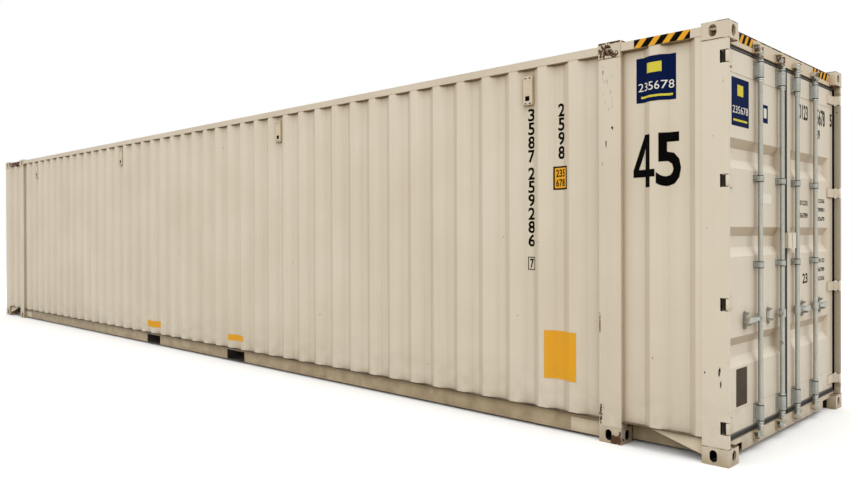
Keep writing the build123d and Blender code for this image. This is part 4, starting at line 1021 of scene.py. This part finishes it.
def wrap(pieces, name, material, lift=FILM):
    """Presses flat pieces on the wall, as decals that follow the corrugations."""
    piece = join_pieces(pieces, name)
    ends = [c[0] for c in piece.bound_box]
    bpy.ops.object.mode_set(mode="EDIT")
    for fold in wall_folds:
        if min(ends) < fold < max(ends):
            bpy.ops.mesh.select_all(action="SELECT")
            bpy.ops.mesh.bisect(plane_co=(fold, 0, 0), plane_no=(1, 0, 0))
    bpy.ops.object.mode_set(mode="OBJECT")
    press = piece.modifiers.new("press", "SHRINKWRAP")
    press.target = left_wall
    press.wrap_method = "PROJECT"
    press.use_project_y = True
    press.use_positive_direction = True
    press.offset = lift
    select_only(piece)
    bpy.ops.object.modifier_apply(modifier="press")
    thicken(piece)
    front = min(v.co.y for v in piece.data.vertices)
    print(name, "faces:", len(piece.data.polygons), "front:", round(front, 4))
    return fit_out(piece, material, "frame")


four = [
    sheet((6.272, 6.314), (1.838, 2.205)),
    sheet((6.175, 6.350), (1.910, 1.962)),
    sheet((6.219, 6.259), (1.955, 2.205), lean=0.090),
]
wrap(four, "figure_four", black_ink)
wrap([digits("5", (6.360, 6.524), (1.840, 2.208), "side", 0.02)], "figure_five", black_ink)
wrap([sheet((6.199, 6.490), (2.432, 2.745))], "side_panel_navy", navy)
panel_row = digits("235678", (6.215, 6.478), (2.51, 2.568), "side", 0.0)
wrap([panel_row], "side_panel_figures", white_vinyl, 2 * FILM)
yellow_bars = [sheet((6.29, 6.40), (2.63, 2.70)), sheet((6.235, 6.468), (2.46, 2.475))]
wrap(yellow_bars, "side_panel_bars", yellow_vinyl, 2 * FILM)
wrap([sheet((5.437, 5.722), (0.40, 0.77))], "side_plate_amber_large", amber)
wrap([sheet((5.508, 5.637), (1.853, 2.032))], "side_plate_border", black_ink)
wrap([sheet((5.519, 5.626), (1.865, 2.02))], "side_plate_amber_small", amber, 2 * FILM)
plate_rows = []
for row, z in (("235", 1.95), ("678", 1.876)):
    plate_rows.append(digits(row, (5.530, 5.612), (z, z + 0.058), "side", 0.015))
wrap(plate_rows, "side_plate_figures", black_ink, 3 * FILM)
wrap([sheet((0.91, 1.25), (0.26, 0.33)), sheet((-1.16, -0.756), (0.25, 0.335))], "fork_pocket_strips", amber)
FIGURE_COLUMNS = [
    ("3587", 5.268, 5.333, 2.503, 0.1086, 0.099), ("259286", 5.268, 5.333, 2.040, 0.1057, 0.097),
    ("7", 5.285, 5.318, 1.318, 0.1, 0.072), ("2598", 5.549, 5.607, 2.512, 0.1086, 0.1),
]
made = []
for text, left, right, top, pitch, tall in FIGURE_COLUMNS:
    for i, digit in enumerate(text):
        made.append(digits(digit, (left, right), (top - i * pitch - tall, top - i * pitch), "side"))
made += [sheet(ends, (1.231, 1.333)) for ends in ((5.265, 5.271), (5.331, 5.337))]
made += [sheet((5.271, 5.331), rows) for rows in ((1.231, 1.237), (1.327, 1.333))]
wrap(made, "side_figures", black_ink)

# %% [markdown]
# Each ventilator cover has a screened outlet low on its face, whose inside is painted as shade by a dark
# plate, and two screws at its top and foot. They are thin plates with rounded corners, a film proud of the
# plastic.

# %% Ventilator outlets
vent_points = [v.co for v in nodes["vents"].data.vertices if v.co.y < 0]
vent_face = min(p.y for p in vent_points)
vent_top, vent_foot = max(p.z for p in vent_points), min(p.z for p in vent_points)
VENT_FILM = (vent_face - FILM, vent_face + FILM / 2)
vent_parts = []
for x in (5.282, 1.946, -1.946, -5.282):
    for side_of_vent in (-0.030, 0.030):
        for low in (vent_top - 0.022, vent_foot + 0.008):
            spread = sorted((x + side_of_vent, x + side_of_vent * 0.35))
            vent_parts.append(plate("screw", spread, VENT_FILM, (low, low + 0.008), 0.002))
    rows = (vent_foot + 0.032, vent_foot + 0.07)
    # Painted shade: the outlet's dark plate stands for its shaded inside
    vent_parts.append(plate("outlet", (x - 0.022, x + 0.018), VENT_FILM, rows, 0.004))
fit_out(join_pieces(vent_parts, "vent_outlets"), black_ink, "frame")
print("vent face at", round(vent_face, 4), "outlets:", len(vent_parts))

# %% Stripes on the rail and the header
decal("side_rail_stripes", (6.2, 6.605), (-1.2177, -1.2168), (2.8155, 2.8745), rail_stripes, "frame")
decal("header_stripes_left", (6.8076, 6.8088), (-0.91, -0.665), (2.806, 2.868), header_stripes, "frame")
decal("header_stripes_right", (6.8076, 6.8088), (0.63, 1.02), (2.806, 2.868), header_stripes, "frame")

# %% [markdown]
# The door seals have an outer lip that lies flat in the gaps round each door. It is a strip below, above
# and between the doors; the seal's body behind it is in the CAD model.

# %% Seal lips
LIP_X, LIP_CLEAR = (6.793, 6.7985), 0.004
for side, sign in (("left", -1), ("right", 1)):
    length = sorted((sign * LIP_CLEAR, sign * 1.160))
    inner = sorted((sign * LIP_CLEAR, sign * 0.031))
    strips = [
        plate("low", LIP_X, length, (0.1355, 0.167), 0.002),
        plate("high", LIP_X, length, (2.740, 2.769), 0.002),
        plate("upright", LIP_X, inner, (0.1355, 2.769), 0.002),
        plate("front", (6.799, 6.8025), inner, (0.168, 2.738), 0.002),
        plate("foot", (6.799, 6.8025), sorted((sign * 0.03, sign * 1.160)), (0.150, 0.176), 0.002),
    ]
    fit_out(join_pieces(strips, f"{side}_door_seal_lip"), rubber, f"{side}_door")
print("seal lips on both doors")

# %% Decals on the doors
PANEL_DECAL = (PANEL_FACE_X - 0.0004, PANEL_FACE_X + 0.0008)
BAR_DECAL = (PANEL_FACE_X, PANEL_FACE_X + 2 * FILM)
decal("door_panel_navy", PANEL_DECAL, (-1.017, -0.718), (2.24, 2.565), navy, "left_door")
decal("door_label_navy", PANEL_DECAL, (-0.463, -0.358), (2.31, 2.44), navy, "left_door")
decal("door_label_white", PANEL_DECAL, (-0.471, -0.288), (1.73, 1.80), white_vinyl, "left_door", 0.008)
decal("door_label_green", (6.7616, 6.7628), (0.308, 0.386), (1.457, 1.483), green_vinyl, "right_door")

DOOR_FIGURES = [
    ("0123", (0.315, 0.525), (2.42, 2.54)),
    ("5678", (0.757, 0.966), (2.41, 2.55)),
    ("89", (0.757, 0.833), (2.295, 2.375)),
    ("01235", (0.335, 0.52), (1.735, 1.775)),
    ("56789", (0.335, 0.52), (1.635, 1.675)),
    ("012356", (0.742, 0.95), (1.765, 1.80)),
    ("678901", (0.742, 0.95), (1.69, 1.725)),
    ("235678", (0.742, 0.95), (1.615, 1.65)),
    ("23", (0.395, 0.515), (1.11, 1.19)),
    ("890123", (0.742, 0.948), (1.265, 1.30)),
    ("356789", (0.742, 0.948), (1.19, 1.225)),
    ("012356", (0.742, 0.948), (1.115, 1.15)),
]
made = [digits(text, y, z, "door") for text, y, z in DOOR_FIGURES]
fit_out(thicken(join_pieces(made, "right_door_figures")), black_ink, "right_door")
edge_figure = digits("5", (1.10, 1.15), (2.43, 2.54), "door")
edge_figure.data.transform(Matrix.Translation((DOOR_FACE_X - PANEL_FACE_X, 0, 0)))
fit_out(thicken(edge_figure), black_ink, "right_door").name = "right_door_edge_figure"
label_figures = thicken(digits("235678", (-1.0, -0.735), (2.325, 2.375), "door", 0.0))
label_figures.data.transform(Matrix.Translation((FILM, 0, 0)))
fit_out(label_figures, white_vinyl, "left_door").name = "door_panel_figures"
decal("door_panel_bar", BAR_DECAL, (-0.92, -0.82), (2.445, 2.52), yellow_vinyl, "left_door")
decal("door_panel_line", BAR_DECAL, (-0.99, -0.75), (2.272, 2.286), yellow_vinyl, "left_door")
decal("door_label_line", BAR_DECAL, (-0.44, -0.385), (2.345, 2.415), white_vinyl, "left_door")
decal("door_data_plate", (6.7976, 6.7996), (-0.944, -0.758), (0.34, 0.595), plate_brown, "left_door", 0.006)
print("door figures:", len(DOOR_FIGURES) + 1)
